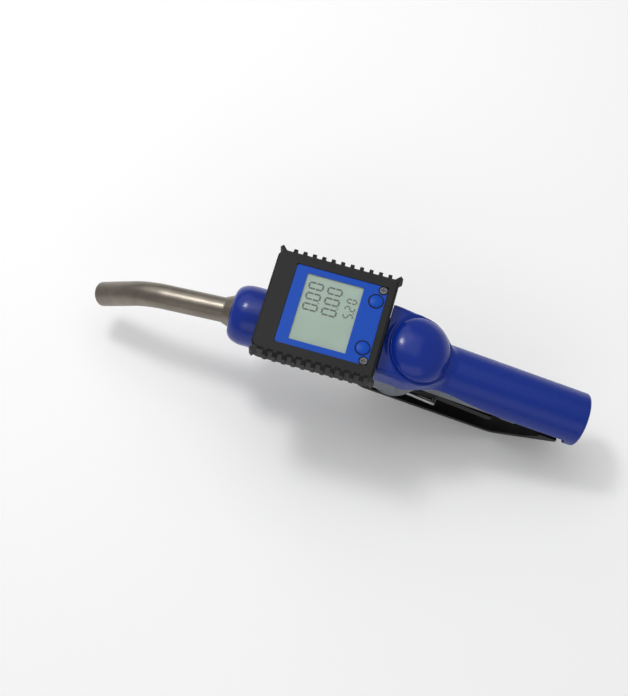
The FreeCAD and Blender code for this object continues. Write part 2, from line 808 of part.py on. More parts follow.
def blade(index, count):
    """A flat blade, pitched about its own radius, that reaches past the rotor's ends before trimming."""
    item = doc.addObject("Part::Box", "rotor_blade_%d" % index)
    bind(item, Length="rotor_len * 2", Width="blade_thick", Height="rotor_tip_rad * 2")
    spread = 360.0 * index / count
    pitched = FreeCAD.Rotation(Vector(1, 0, 0), spread) * FreeCAD.Rotation(Vector(0, 0, 1), value("blade_pitch"))
    item.Placement.Rotation = pitched
    corner = pitched.multVec(Vector(-1, -0.5, 0))
    put_base(item, "barrel",
             "-(rotor_front + rotor_back) / 2 + rotor_len * %.6f + blade_thick * %.6f" % (
                 pitched.multVec(Vector(-1, 0, 0)).x, pitched.multVec(Vector(0, -0.5, 0)).x),
             "rotor_len * %.6f + blade_thick * %.6f" % (
                 pitched.multVec(Vector(-1, 0, 0)).y, pitched.multVec(Vector(0, -0.5, 0)).y),
             "rotor_len * %.6f + blade_thick * %.6f" % (
                 pitched.multVec(Vector(-1, 0, 0)).z, pitched.multVec(Vector(0, -0.5, 0)).z))
    return item


def make_meter_body():
    """The tapered casting that holds the turbine, flat on top where the register sits."""
    nose = "collar_rad - collar_wall - seat_fit"
    corners = [("-nose_front", "meter_bore"),
               ("meter_rear - spigot_len - 2 * seal_cord - 2 * seat_fit", "meter_bore"),
               ("meter_rear - spigot_len - 2 * seal_cord - 2 * seat_fit", "spigot_rad + seat_fit"),
               ("meter_rear", "spigot_rad + seat_fit"),
               ("meter_rear", "meter_rear_rad"),
               ("-collar_back", "meter_front_rad"),
               ("-collar_back", nose),
               ("-nose_front", nose)]
    cone = turned("meter_body", "barrel", corners)
    top = slab("meter_top", "barrel", "meter_rear_rad * 2",
               ("-tray_front", "bezel_back + seat_fit"), ("meter_flat", "display_height"))
    slot = slab("tongue_slot", "handle", "tongue_half + seat_fit",
                ("-tongue_back - seat_fit", "-tongue_back + tongue_long + seat_fit"),
                ("-guard_drop", "-tongue_drop + seat_fit"))
    cap_flat = post("meter_cap_flat", "valve", "cap_lip_rad + open_gap", "tower_top", "tower_top * 2")
    node(cut("meter_body_cut", cone, top, slot, cap_flat), "meter_body")
    seal = ring("meter_seal_ring", "barrel", "spigot_rad - 2 * seal_cord", "seal_cord",
                x="meter_rear - spigot_len - seat_fit - seal_cord", turn="90")
    node(seal, "meter_seal")


# ---------------------------------------------------------------- register

def make_register_housing():
    """The tray that holds the electronics, over a saddle that straddles the meter body."""
    tray = slab("tray", "barrel", "tray_half", ("-tray_front", "tray_back"), ("tray_foot", "rim_top"))
    saddle = slab("saddle", "barrel", "saddle_half", ("-tray_front + 2", "tray_back - 2"),
                  ("saddle_foot", "tray_foot"))
    body_room = cone_room_for("saddle")
    pocket = slab("tray_pocket", "barrel", "tray_half - tray_wall_side",
                  ("-tray_front + tray_wall_front", "tray_back - tray_wall_back"), ("pocket_foot", "rim_top"))
    low = slab("saddle_low", "barrel", "tray_half", ("-tray_front", "tray_back"), ("0", "meter_flat + seat_fit"))
    under = common("saddle_room", body_room, low)
    shell = cut("tray_hollow", join("tray_blank", tray, saddle), pocket, under)
    posts = [post("screw_post_%d" % side, "barrel", "post_rad", "pocket_foot", "rim_top", "screw_x",
                  "%d * screw_y" % side) for side in (-1, 1)]
    holes = [post("screw_hole_%d" % side, "barrel", "screw_rad + seat_fit", "rim_top - screw_long - 1",
                  "rim_top", "screw_x", "%d * screw_y" % side) for side in (-1, 1)]
    node(cut("tray_holes", join("tray_posts", shell, *posts), *holes), "register_housing")


def cone_room_for(name):
    """The meter body's taper with a seat gap all round."""
    item = doc.addObject("Part::Cone", name + "_taper")
    length = "meter_rear + collar_back"
    bind(item, Radius1="meter_front_rad + seat_fit", Radius2="meter_rear_rad + seat_fit", Height=length)
    return place(item, "barrel", x="-collar_back", turn="90")


def make_bezel():
    """The finned frame round the display: a hollow block, rounded in front, with ribs on both sides."""
    body = new_body("bezel")
    sketch = sketch_on(body, "XY_Plane", "bezel_outline")
    outline(sketch, rectangle(("-bezel_front", "bezel_back"), ("-bezel_half", "bezel_half")))
    doc.recompute()
    pad = body.newObject("PartDesign::Pad", "bezel_pad")
    pad.Profile = sketch
    bind(pad, Length="display_height - bezel_foot")
    front, top = -value("bezel_front"), value("display_height - bezel_foot")
    rounded(body, "bezel_corners", "bezel_round",
            lambda edge: upright(edge) and edge.BoundBox.XMax < front + 0.01)
    block_top = body.Tip
    rims = ["Edge%d" % (number + 1) for number, edge in enumerate(block_top.Shape.Edges)
            if edge.BoundBox.ZMin > top - 0.01]
    bevel = body.newObject("PartDesign::Chamfer", "bezel_bevel")
    bevel.Base = (block_top, rims)
    bind(bevel, Size="bezel_bevel")
    doc.recompute()
    add_fins(body)
    place(body, "barrel", z="bezel_foot")
    room = slab("bezel_room", "barrel", "tray_half + seat_fit",
                ("-tray_front - seat_fit", "tray_back + seat_fit"), ("bezel_foot", "panel_foot"))
    opening = slab("bezel_opening", "barrel", "panel_width / 2 + seat_fit * 2",
                   ("-panel_len / 2 - seat_fit * 2", "panel_len / 2 + seat_fit * 2"),
                   ("rim_top", "display_height"))
    finned = join("bezel_finned", body, *corner_fins())
    frame = cut("bezel_hollow", finned, room, opening)
    ears, holes = [], []
    for side in (-1, 1):
        y = "%d * screw_y" % side
        ears.append(post("ear_round_%d" % side, "barrel", "screw_notch_rad - seat_fit", "rim_top",
                         "rim_top + ear_thick", "screw_x", y))
        corner = ("%s - 2.15 + 2.15 * %d" % (y, side), "%s + 2.15 + 2.15 * %d" % (y, side))
        ears.append(block("ear_corner_%d" % side, "barrel", ("screw_x", "screw_x + 4.4"), corner,
                          ("panel_foot", "rim_top + ear_thick")))
        holes.append(post("ear_hole_%d" % side, "barrel", "screw_rad + seat_fit", "rim_top",
                          "rim_top + ear_thick", "screw_x", y))
    node(cut("bezel_cut", join("bezel_eared", frame, *ears), *holes), "bezel")


def add_fins(body):
    """A row of ribs on one side, each a rounded hook over the top edge, and the same mirrored."""
    profile = sketch_on(body, "YZ_Plane", "fin_profile")
    profile.setExpression("AttachmentOffset.Base.z", worded("-fin_first"))
    top = "display_height - bezel_foot"
    tip = "bezel_half + fin_reach"
    corners = [("bezel_half - 1", "%s - fin_drop" % top),
               ("bezel_half - fin_lap - 1", "%s - fin_drop" % top),
               ("bezel_half - fin_lap - 1", "%s - 0.6" % top),
               ("bezel_half - fin_lap", "%s" % top, "-1.2"),
               ("bezel_half", "%s" % top),
               (tip, "%s - fin_round" % top, "-fin_round * 1.7"),
               (tip, "%s - fin_drop + fin_reach" % top)]
    outline(profile, corners)
    doc.recompute()
    fin = body.newObject("PartDesign::Pad", "fin_pad")
    fin.Profile = profile
    fin.SideType = "Symmetric"
    bind(fin, Length="fin_width")
    doc.recompute()
    several = body.newObject("PartDesign::MultiTransform", "fin_rows")
    several.Originals = [fin]
    row = body.newObject("PartDesign::LinearPattern", "fin_row")
    row.Direction = (origin_plane(body, "X_Axis"), [""])
    row.Occurrences = FIN_COUNT
    bind(row, Length="fin_pitch * %d" % (FIN_COUNT - 1))
    other = body.newObject("PartDesign::Mirrored", "fin_mirror")
    other.MirrorPlane = (origin_plane(body, "XZ_Plane"), [""])
    several.Transformations = [row, other]
    body.Tip = several
    doc.recompute()


def corner_fins():
    """A rib set at 45 degrees on each corner of the bezel."""
    ribs = []
    for along, across in ((-1, -1), (-1, 1), (1, -1), (1, 1)):
        item = doc.addObject("Part::Box", "corner_fin_%d_%d" % (along + 1, across + 1))
        bind(item, Length="fin_reach * 2.4", Width="fin_width", Height="fin_drop - fin_reach")
        heading = math.degrees(math.atan2(across, along))
        item.Placement.Rotation = FreeCAD.Rotation(Vector(0, 0, 1), heading)
        edge = "bezel_front - bezel_round / 2" if along < 0 else "bezel_back - 1"
        side = Vector(-math.sin(math.radians(heading)), math.cos(math.radians(heading)), 0)
        put_base(item, "barrel",
                 "%d * (%s - fin_reach) - fin_width / 2 * %.6f" % (along, edge, side.x),
                 "%d * (bezel_half - fin_reach) - fin_width / 2 * %.6f" % (across, side.y),
                 "display_height - 0.4 - fin_drop + fin_reach")
        ribs.append(item)
    return ribs


def panel_tools(name, height):
    """What the screws and buttons cut out of a flat piece under the bezel."""
    foot, top = height
    notches = [post("%s_notch_%d" % (name, side), "barrel", "screw_notch_rad", foot, top, "screw_x",
                    "%d * screw_y" % side) for side in (-1, 1)]
    holes = [post("%s_hole_%d" % (name, side), "barrel", "button_rad + button_gap", foot, top, "button_x",
                  "%d * button_y" % side) for side in (-1, 1)]
    return notches, holes


def make_panel():
    """The coloured face panel, with its window, two button holes and two screw notches."""
    body = new_body("face_panel")
    sketch = sketch_on(body, "XY_Plane", "panel_outline")
    outline(sketch, rectangle(("-panel_len / 2", "panel_len / 2"), ("-panel_width / 2", "panel_width / 2")))
    outline(sketch, rectangle(("-window_len / 2 - window_shift", "window_len / 2 - window_shift"),
                              ("-window_width / 2", "window_width / 2")))
    doc.recompute()
    pad = body.newObject("PartDesign::Pad", "panel_pad")
    pad.Profile = sketch
    bind(pad, Length="panel_thick")
    half = value("panel_len / 2")
    rounded(body, "panel_corners", "panel_round",
            lambda edge: upright(edge) and abs(abs(edge.BoundBox.XMax) - half) < 0.01)
    place(body, "barrel", z="panel_foot")
    notches, holes = panel_tools("panel", ("panel_foot", "panel_top"))
    node(cut("panel_cut", body, *(notches + holes)), "face_panel")


def make_gasket():
    """The flat seal between the panel and the rim of the tray."""
    lap = "gasket_lap"
    frame = slab("gasket_out", "barrel", "panel_width / 2 + 1.5 * %s" % lap,
                 ("-panel_len / 2 - 1.5 * %s" % lap, "panel_len / 2 + 1.5 * %s" % lap), ("rim_top", "panel_foot"))
    middle = slab("gasket_in", "barrel", "panel_width / 2 - %s" % lap,
                  ("-panel_len / 2 + %s / 2" % lap, "panel_len / 2 - %s / 2" % lap), ("rim_top", "panel_foot"))
    notches, _ = panel_tools("gasket", ("rim_top", "panel_foot"))
    node(cut("gasket_cut", frame, middle, *notches), "panel_gasket")


def window_span(margin):
    return ("-window_len / 2 - window_shift - (%s)" % margin, "window_len / 2 - window_shift + (%s)" % margin)


def make_display():
    """The clear window, the liquid-crystal module under it and the figures that it shows."""
    pane = slab("window_pane", "barrel", "window_width / 2 - seat_fit", window_span("-seat_fit"),
                ("glass_foot", "panel_top"))
    node(pane, "lcd_window")
    module = slab("lcd_block", "barrel", "window_width / 2 + lcd_rim", window_span("lcd_rim"),
                  ("board_top + seat_fit", "lcd_top"))
    node(module, "lcd_module")
    bars = []
    for row, (text, centre, last, tall, step) in enumerate(READOUT):
        figures = text.replace(".", "")
        for index, figure in enumerate(figures):
            middle = "%s - %d * %s" % (last, len(figures) - 1 - index, step)
            bars += digit("digit_%d_%d" % (row, index), int(figure), centre, middle, tall)
        point = len(text) - 1 - text.index(".")
        bars.append(lcd_bar("point_%d" % row, "%s + %s / 2 - digit_bar / 2" % (centre, tall),
                            "%s - (%d - 0.5) * %s" % (last, point, step), "digit_bar", "digit_bar"))
    node(group("lcd_group", *bars), "lcd_digits")


# Each row of the display: its text, the height of its middle along X, the place of its last figure
# along Y, the height of a figure and the step from one figure to the next.
READOUT = (
    ("0.00", "-16.7", "18.3", "digit_tall", "digit_step"),
    ("0.00", "-2.5", "18.0", "digit_tall", "digit_step"),
    ("5.20", "11.3", "14.0", "digit_tall * 0.7", "digit_step * 0.7"),
)

# The seven bars of a figure: place along its height and width in half sizes, and which way it lies.
BARS = {"top": (-1, 0, "flat"), "middle": (0, 0, "flat"), "bottom": (1, 0, "flat"),
        "upper_left": (-0.5, -1, "tall"), "upper_right": (-0.5, 1, "tall"),
        "lower_left": (0.5, -1, "tall"), "lower_right": (0.5, 1, "tall")}
FIGURES = {
    0: ("top", "bottom", "upper_left", "upper_right", "lower_left", "lower_right"),
    2: ("top", "middle", "bottom", "upper_right", "lower_left"),
    5: ("top", "middle", "bottom", "upper_left", "lower_right"),
}


def digit(name, figure, centre, middle, tall):
    """The lit bars of one seven-bar figure; its top points towards the spout."""
    bars = []
    wide = "%s / 2" % tall
    for bar in FIGURES[figure]:
        high, side, lie = BARS[bar]
        x = "%s + %s * (%s - digit_bar) / 2" % (centre, high, tall)
        y = "%s + %s * (%s - digit_bar) / 2" % (middle, side, wide)
        long_side = "(%s / 2 - digit_bar * 1.3)" % tall
        if lie == "flat":
            bars.append(lcd_bar("%s_%s" % (name, bar), x, y, "digit_bar", "%s - digit_bar * 2.2" % wide))
        else:
            bars.append(lcd_bar("%s_%s" % (name, bar), x, y, long_side, "digit_bar"))
    return bars


def lcd_bar(name, x, y, along, across):
    return block(name, "barrel", ("%s - (%s) / 2" % (x, along), "%s + (%s) / 2" % (x, along)),
                 ("%s - (%s) / 2" % (y, across), "%s + (%s) / 2" % (y, across)),
                 ("lcd_top", "lcd_top + digit_thick"))


def make_electronics():
    """The board under the display, its two switches, the cells in their cradle and the pulse sensor."""
    board = slab("board_blank", "barrel", "screw_y - post_rad - open_gap",
                 ("-tray_front + tray_wall_front + open_gap", "tray_back - tray_wall_back - open_gap"),
                 ("board_top - board_thick", "board_top"))
    node(board, "circuit_board")
    switches = [block("switch_%d" % side, "barrel", ("button_x - 3", "button_x + 3"),
                      ("%d * button_y - 3" % side, "%d * button_y + 3" % side),
                      ("board_top", "board_top + 3.2")) for side in (-1, 1)]
    node(group("switch_pair", *switches), "button_switches")
    cells, rooms = [], []
    for side in (-1, 1):
        y = "%d * (cell_rad + cell_gap + sensor_half)" % side
        height = "pocket_foot + cell_rad + seat_fit * 4"
        cells.append(rod("cell_%d" % side, "barrel", "cell_rad", "-cell_len / 2", "cell_len / 2", y, height))
        rooms.append(rod("cell_room_%d" % side, "barrel", "cell_rad + seat_fit", "-cell_len / 2 - 0.2",
                         "cell_len / 2 + 0.2", y, height))
    node(group("cell_pair", *cells), "batteries")
    cradle = slab("cradle_block", "barrel", "2 * cell_rad + cell_gap + sensor_half + 1",
                  ("-cell_len / 2 - 2", "cell_len / 2 + 2"), ("pocket_foot", "pocket_foot + cell_rad"))
    slot = slab("sensor_slot", "barrel", "sensor_half + seat_fit",
                ("-sensor_back - sensor_long - seat_fit", "-sensor_back + seat_fit"),
                ("pocket_foot", "pocket_foot + cell_rad"))
    node(cut("cradle_cut", cradle, slot, *rooms), "battery_cradle")
    sensor = slab("sensor_block", "barrel", "sensor_half", ("-sensor_back - sensor_long", "-sensor_back"),
                  ("pocket_foot", "pocket_foot + sensor_tall"))
    node(sensor, "pulse_sensor")


def make_buttons():
    """Two domed push buttons, held under the panel by their flanges."""
    foot, under = "board_top + 3.2 + button_travel + seat_fit", "panel_foot - seat_fit"
    top = "panel_top + button_proud"
    for side, label in ((-1, "select_button"), (1, "reset_button")):
        corners = [(foot, "0"),
                   (foot, "button_rad / 3"),
                   ("%s - button_flange" % under, "button_rad / 3"),
                   ("%s - button_flange" % under, "button_rad + button_gap * 2"),
                   (under, "button_rad + button_gap * 2"),
                   (under, "button_rad"),
                   ("%s - button_dome" % top, "button_rad"),
                   (top, "0", dome_rad("button_rad", "button_dome"))]
        body = turned(label, "barrel", corners, along="z", x="button_x")
        bind(body, **{"Placement.Base.y": "%d * button_y" % side})
        node(body, label)


def make_panel_screws():
    """Two cross-head screws that hold the bezel's ears down on the tray's posts."""
    seat = "rim_top + ear_thick"
    top = "%s + screw_head_thick" % seat
    screws = []
    for side in (-1, 1):
        y = "%d * screw_y" % side
        shank = post("panel_shank_%d" % side, "barrel", "screw_rad", "rim_top - screw_long", seat,
                     "screw_x", y)
        head = post("panel_head_%d" % side, "barrel", "screw_head_rad", seat, top, "screw_x", y)
        cross = []
        for turn, (along, across) in enumerate((("0.6", "0.13"), ("0.13", "0.6"))):
            cross.append(block("panel_slot_%d_%d" % (side, turn), "barrel",
                               ("screw_x - screw_head_rad * %s" % along, "screw_x + screw_head_rad * %s" % along),
                               ("%s - screw_head_rad * %s" % (y, across), "%s + screw_head_rad * %s" % (y, across)),
                               ("%s - screw_head_thick * 0.7" % top, top)))
        screws.append(cut("panel_screw_%d" % side, join("panel_screw_blank_%d" % side, shank, head), *cross))
    node(group("panel_screw_pair", *screws), "panel_screws")


# ---------------------------------------------------------------- nozzle body

def make_nozzle_body():
    """The casting: the meter's socket, the valve tower, and the handle tube with its hose inlet."""
    ahead = slab("ahead_of_joint", "barrel", "tower_rad * 2", ("-meter_gap", "meter_rear"),
                 ("-tower_rad * 2", "tower_rad * 2"))
    solids = [
        rod("neck_solid", "barrel", "meter_rear_rad", "meter_rear", "valve_gap"),
        rod("spigot_solid", "barrel", "spigot_rad", "meter_rear - spigot_len", "meter_rear"),
        cut("tower_solid", post("tower_blank", "valve", "tower_rad", "-tower_foot", "tower_top"), ahead),
        rod("handle_solid", "handle", "handle_rad", "-handle_len", "0"),
        post("pad_solid", "handle", "pad_rad", "-pad_drop", "-handle_rad / 2", "-pad_back"),
        slab("stop_solid", "handle", "stop_half", ("-stop_back", "-stop_back + stop_long"),
             ("-stop_drop", "-handle_rad / 2")),
        post("gland_boss", "handle", "gland_head_rad + 1.5", "-handle_rad - 1.2", "-handle_rad / 2",
             "-main_back"),
    ]
    hollows = [
        rod("neck_bore", "barrel", "meter_bore", "meter_rear - spigot_len", "valve_gap"),
        post("well", "valve", "well_rad", "-well_foot", "well_top"),
        post("cap_room", "valve", "cap_room_rad", "cap_room_foot", "tower_top"),
        post("cap_flat", "valve", "cap_lip_rad + open_gap", "tower_top", "tower_top * 2"),
        post("trip_hole", "valve", "trip_rad + running_fit", "-tower_foot - 12", "cap_room_foot"),
        post("trip_gland_seat", "valve", "trip_gland_rad", "-tower_foot - 12", "-well_foot"),
        rod("inlet_thread", "handle", "inlet_rad", "-inlet_len", "0"),
        rod("strainer_seat", "handle", "strainer_rad + seat_fit", "-inlet_len - strainer_rim_thick", "-inlet_len"),
        rod("flow_bore", "handle", "flow_rad", "-main_back + main_rad - 1", "-inlet_len", z="flow_rise"),
        post("main_chamber", "handle", "main_rad", "-main_seat_drop", "handle_rad", "-main_back"),
        post("main_well", "handle", "main_well_rad", "-main_well_drop", "-main_seat_drop", "-main_back"),
        post("gland_seat", "handle", "gland_rad", "-handle_rad - 2", "-main_well_drop", "-main_back"),
        rod("link_bore", "handle", "link_rad", "-main_back - tower_rad", "-main_back", z="-link_drop"),
        post("pad_tap", "handle", "guard_screw_rad", "-pad_drop", "-pad_drop + 9", "-pad_back"),
    ]
    body = cut("nozzle_casting", join("nozzle_blank", *solids), *hollows)
    node(body, "nozzle_body")


def make_strainer():
    """A slotted cup that stands in the flow bore; its rim lies in a recess behind the inlet thread."""
    cup = "flow_rad - open_gap"
    rim = rod("strainer_rim", "handle", "strainer_rad", "-inlet_len - strainer_rim_thick", "-inlet_len")
    tube = rod("strainer_tube", "handle", cup, "-inlet_len - strainer_len", "-inlet_len", z="flow_rise")
    room = rod("strainer_room", "handle", "%s - strainer_wall" % cup,
               "-inlet_len - strainer_len + strainer_wall", "-inlet_len", z="flow_rise")
    slots = []
    for row in range(4):
        start = "-inlet_len - strainer_len + %d * strainer_slot * 2 + strainer_slot" % row
        for name, y, z in (("side", "flow_rad * 2", "strainer_slot"), ("tall", "strainer_slot", "flow_rad * 2")):
            slots.append(block("strainer_%s_%d" % (name, row), "handle", (start, "%s + strainer_slot" % start),
                               ("-%s" % y, y), ("flow_rise - %s" % z, "flow_rise + %s" % z)))
    node(cut("strainer_cut", join("strainer_blank", rim, tube), room, *slots), "inlet_strainer")


# ---------------------------------------------------------------- main valve

def make_main_valve():
    """Seat ring, poppet with its seal and stem, spring, closing plug and stem gland."""
    back = "-main_back"
    seat = cut("seat_ring_cut",
               post("seat_ring_out", "handle", "seat_ring_rad", "-main_seat_drop", "main_seat_top", back),
               post("seat_ring_in", "handle", "seat_ring_bore", "-main_seat_drop", "main_seat_top", back))
    node(seat, "valve_seat")
    seal = cut("poppet_seal_cut",
               post("poppet_seal_out", "handle", "poppet_rad - 0.4", "main_seat_top + seat_fit", "poppet_foot", back),
               post("poppet_seal_in", "handle", "stem_rad", "main_seat_top + seat_fit", "poppet_foot", back))
    node(seal, "poppet_seal")
    corners = [("poppet_foot", "0"),
               ("poppet_foot", "poppet_rad"),
               ("poppet_foot + poppet_thick / 2", "poppet_rad"),
               ("poppet_top", "spring_rad - 2 * spring_wire - open_gap"),
               ("poppet_top + 2", "spring_rad - 2 * spring_wire - open_gap"),
               ("poppet_top + 2", "0")]
    node(turned("main_poppet", "handle", corners, along="z", x=back), "main_poppet")
    node(post("stem_rod", "handle", "stem_rad", "stem_foot", "poppet_foot", back), "valve_stem")
    spring_foot = "poppet_foot + poppet_thick / 2 + 1"
    plug = post("plug_blank", "handle", "main_rad - seat_fit", "plug_foot", "plug_top", back)
    hexagon = doc.addObject("Part::Prism", "plug_hexagon")
    hexagon.Polygon = 6
    bind(hexagon, Circumradius="plug_hex", Height="plug_thick")
    place(hexagon, "handle", x=back, z="plug_top - plug_thick / 2")
    node(cut("plug_cut", plug, hexagon), "valve_plug")
    spring = coil("main_coil", "handle", "spring_rad", "spring_wire", 3, "plug_foot - poppet_top", "0",
                  x=back, z="poppet_top")
    node(spring, "main_spring")
    gland_corners = [("-handle_rad - 1.2 - gland_head", "stem_rad + running_fit"),
                     ("-handle_rad - 1.2 - gland_head", "gland_head_rad"),
                     ("-handle_rad - 1.2", "gland_head_rad"),
                     ("-handle_rad - 1.2", "gland_rad - seat_fit"),
                     ("-main_well_drop", "gland_rad - seat_fit"),
                     ("-main_well_drop", "stem_rad + running_fit")]
    node(turned("stem_gland", "handle", gland_corners, along="z", x=back), "stem_gland")


# ---------------------------------------------------------------- cap, diaphragm and trip stem

def dome_rad(radius, rise):
    """The radius of an arc that rises from the axis of a dome to its edge."""
    return "((%s) * (%s) + (%s) * (%s)) / (2 * (%s))" % (radius, radius, rise, rise, rise)


def make_cap():
    """The domed cap over the diaphragm: a straight wall, a lip and a dome, hollow inside."""
    inner = "(cap_rad - cap_wall)"
    clamp = "tower_top + diaphragm_thick + seat_fit / 2"
    dome = "(cap_lip_rad - 1)"
    corners = [("tower_top", inner),
               ("tower_top", "cap_rad"),
               ("cap_lip_foot", "cap_rad"),
               ("cap_lip_foot", "cap_lip_rad"),
               ("cap_lip_top", "cap_lip_rad"),
               ("cap_lip_top", dome),
               ("cap_top", "0", dome_rad(dome, "cap_dome")),
               ("cap_top - cap_wall", "0"),
               ("cap_lip_top", "%s - 1" % inner, "-" + dome_rad("%s - 1" % inner, "cap_dome - cap_wall")),
               (clamp, "%s - 1" % inner),
               (clamp, inner)]
    node(turned("valve_cap", "valve", corners, along="z"), "valve_cap")


def make_trip():
    """The stem that carries the lever's pivot, and its gland in the foot of the tower."""
    head_foot = "cap_room_foot + trip_travel + 1"
    corners = [("-trip_eye_drop + eye_rad - 1.5", "0"),
               ("-trip_eye_drop + eye_rad - 1.5", "trip_rad"),
               (head_foot, "trip_rad"),
               (head_foot, "trip_head_rad"),
               ("tower_top - seat_fit", "trip_head_rad"),
               ("tower_top - seat_fit", "latch_rad + running_fit"),
               ("%s - trip_travel" % head_foot, "latch_rad + running_fit"),
               ("%s - trip_travel" % head_foot, "0")]
    shank = turned("trip_shank", "valve", corners, along="z")
    eye = cross_rod("trip_eye", "valve", "eye_rad", "eye_half", "0", "-trip_eye_drop")
    hole = cross_rod("trip_eye_hole", "valve", "lever_pin_rad", "eye_half", "0", "-trip_eye_drop")
    node(cut("trip_cut", join("trip_blank", shank, eye), hole), "trip_stem")
    node(cross_rod("lever_pin_rod", "valve", "lever_pin_rad", "lever_half + 1", "0", "-trip_eye_drop"),
         "lever_pin")
    gland = [("-tower_foot - 2", "trip_rad + running_fit"),
             ("-tower_foot - 2", "trip_gland_rad - seat_fit"),
             ("-well_foot", "trip_gland_rad - seat_fit"),
             ("-well_foot", "trip_rad + running_fit")]
    node(turned("trip_gland", "valve", gland, along="z"), "trip_gland")


def make_diaphragm():
    """The diaphragm under the cap, the plunger that latches the trip stem, and the plunger's spring."""
    upper = "tower_top + diaphragm_thick"
    disc = post("diaphragm_disc", "valve", "cap_rad - cap_wall - seat_fit", "tower_top", upper)
    hole = post("diaphragm_hole", "valve", "latch_rad", "tower_top", upper)
    node(cut("diaphragm_cut", disc, hole), "diaphragm")
    corners = [("cap_room_foot + 2", "0"),
               ("cap_room_foot + 2", "latch_rad"),
               (upper, "latch_rad"),
               (upper, "washer_rad"),
               ("%s + washer_thick" % upper, "washer_rad"),
               ("%s + washer_thick" % upper, "latch_rad * 2"),
               ("%s + washer_thick * 3" % upper, "latch_rad * 2"),
               ("%s + washer_thick * 3" % upper, "0")]
    node(turned("latch_plunger", "valve", corners, along="z"), "latch_plunger")
    foot = "%s + washer_thick" % upper
    spring = coil("diaphragm_coil", "valve", "cap_spring_rad", "cap_spring_wire", 5,
                  "cap_top - cap_wall - 1 - (%s)" % foot, "0", z=foot)
    node(spring, "diaphragm_spring")


# ---------------------------------------------------------------- lever, clip and guard

def pivot():
    """The lever's pivot in the handle's frame, worked out from the valve's lean."""
    x = "(valve_x - trip_eye_drop * sin(valve_lean))"
    z = "(barrel_z - trip_eye_drop * cos(valve_lean))"
    return ("(%s * cos(handle_tilt) - %s * sin(handle_tilt))" % (x, z),
            "(%s * sin(handle_tilt) + %s * cos(handle_tilt))" % (x, z))


def make_lever():
    """A cranked lever with a fork over the trip stem's eye, its top clear of the handle."""
    x, z = pivot()
    boss = cross_rod("lever_boss", "handle", "lever_boss_rad", "lever_half", x, z)
    corners = [("%s - lever_boss_rad * 0.2" % x, "%s + lever_boss_rad * 0.7" % z),
               ("%s - lever_boss_rad * 0.2" % x, "%s - lever_boss_rad * 0.95" % z),
               ("-lever_knee_back", "-lever_knee_drop - lever_thick - 1"),
               ("-lever_mid_back", "-lever_mid_drop - lever_thick"),
               ("-lever_tail_back - 3", "-lever_tail_drop - lever_thick"),
               ("-lever_tail_back", "-lever_tail_drop - lever_thick + 3", "3"),
               ("-lever_tail_back", "-lever_tail_drop - 2"),
               ("-lever_tail_back - 2", "-lever_tail_drop", "2"),
               ("-lever_mid_back", "-lever_mid_drop"),
               ("-lever_knee_back", "-lever_knee_drop")]
    blade_body = padded("lever_blade", "handle", corners, "lever_half")
    slot = slab("lever_slot", "handle", "eye_half + open_gap / 2",
                ("%s - lever_boss_rad - 1" % x, "%s + eye_rad + open_gap + 2" % x),
                ("%s - lever_boss_rad - 1" % z, "%s + lever_boss_rad + 2" % z))
    pin_hole = cross_rod("lever_hole", "handle", "lever_pin_rad + running_fit", "lever_half", x, z)
    clip_hole = cross_rod("lever_clip_hole", "handle", "clip_pin_rad + running_fit", "lever_half",
                          "-clip_back", "-clip_drop")
    node(cut("lever_cut", join("lever_whole", boss, blade_body), slot, pin_hole, clip_hole), "lever")


def make_clip():
    """The wire bail that holds the lever up: two legs, a cross bar and the pin it turns on."""
    foot_x = "(-clip_back + clip_reach * cos(clip_sag))"
    foot_z = "(-clip_drop - clip_reach * sin(clip_sag))"
    wires = [cross_rod("clip_bar", "handle", "clip_wire", "clip_half", foot_x, foot_z),
             cross_rod("clip_pin_rod", "handle", "clip_pin_rad", "clip_half", "-clip_back", "-clip_drop")]
    for side in (-1, 1):
        y = "%d * clip_half" % side
        leg = doc.addObject("Part::Cylinder", "clip_leg_%d" % side)
        bind(leg, Radius="clip_wire", Height="clip_reach")
        wires.append(place(leg, "handle", x="-clip_back", y=y, z="-clip_drop", turn="90 + clip_sag"))
        for corner, x, z in (("bend", foot_x, foot_z), ("end", "-clip_back", "-clip_drop")):
            ball = doc.addObject("Part::Sphere", "clip_%s_%d" % (corner, side))
            bind(ball, Radius="clip_wire")
            wires.append(place(ball, "handle", x=x, y=y, z=z))
    node(join("clip_wire_loop", *wires), "hold_open_clip")


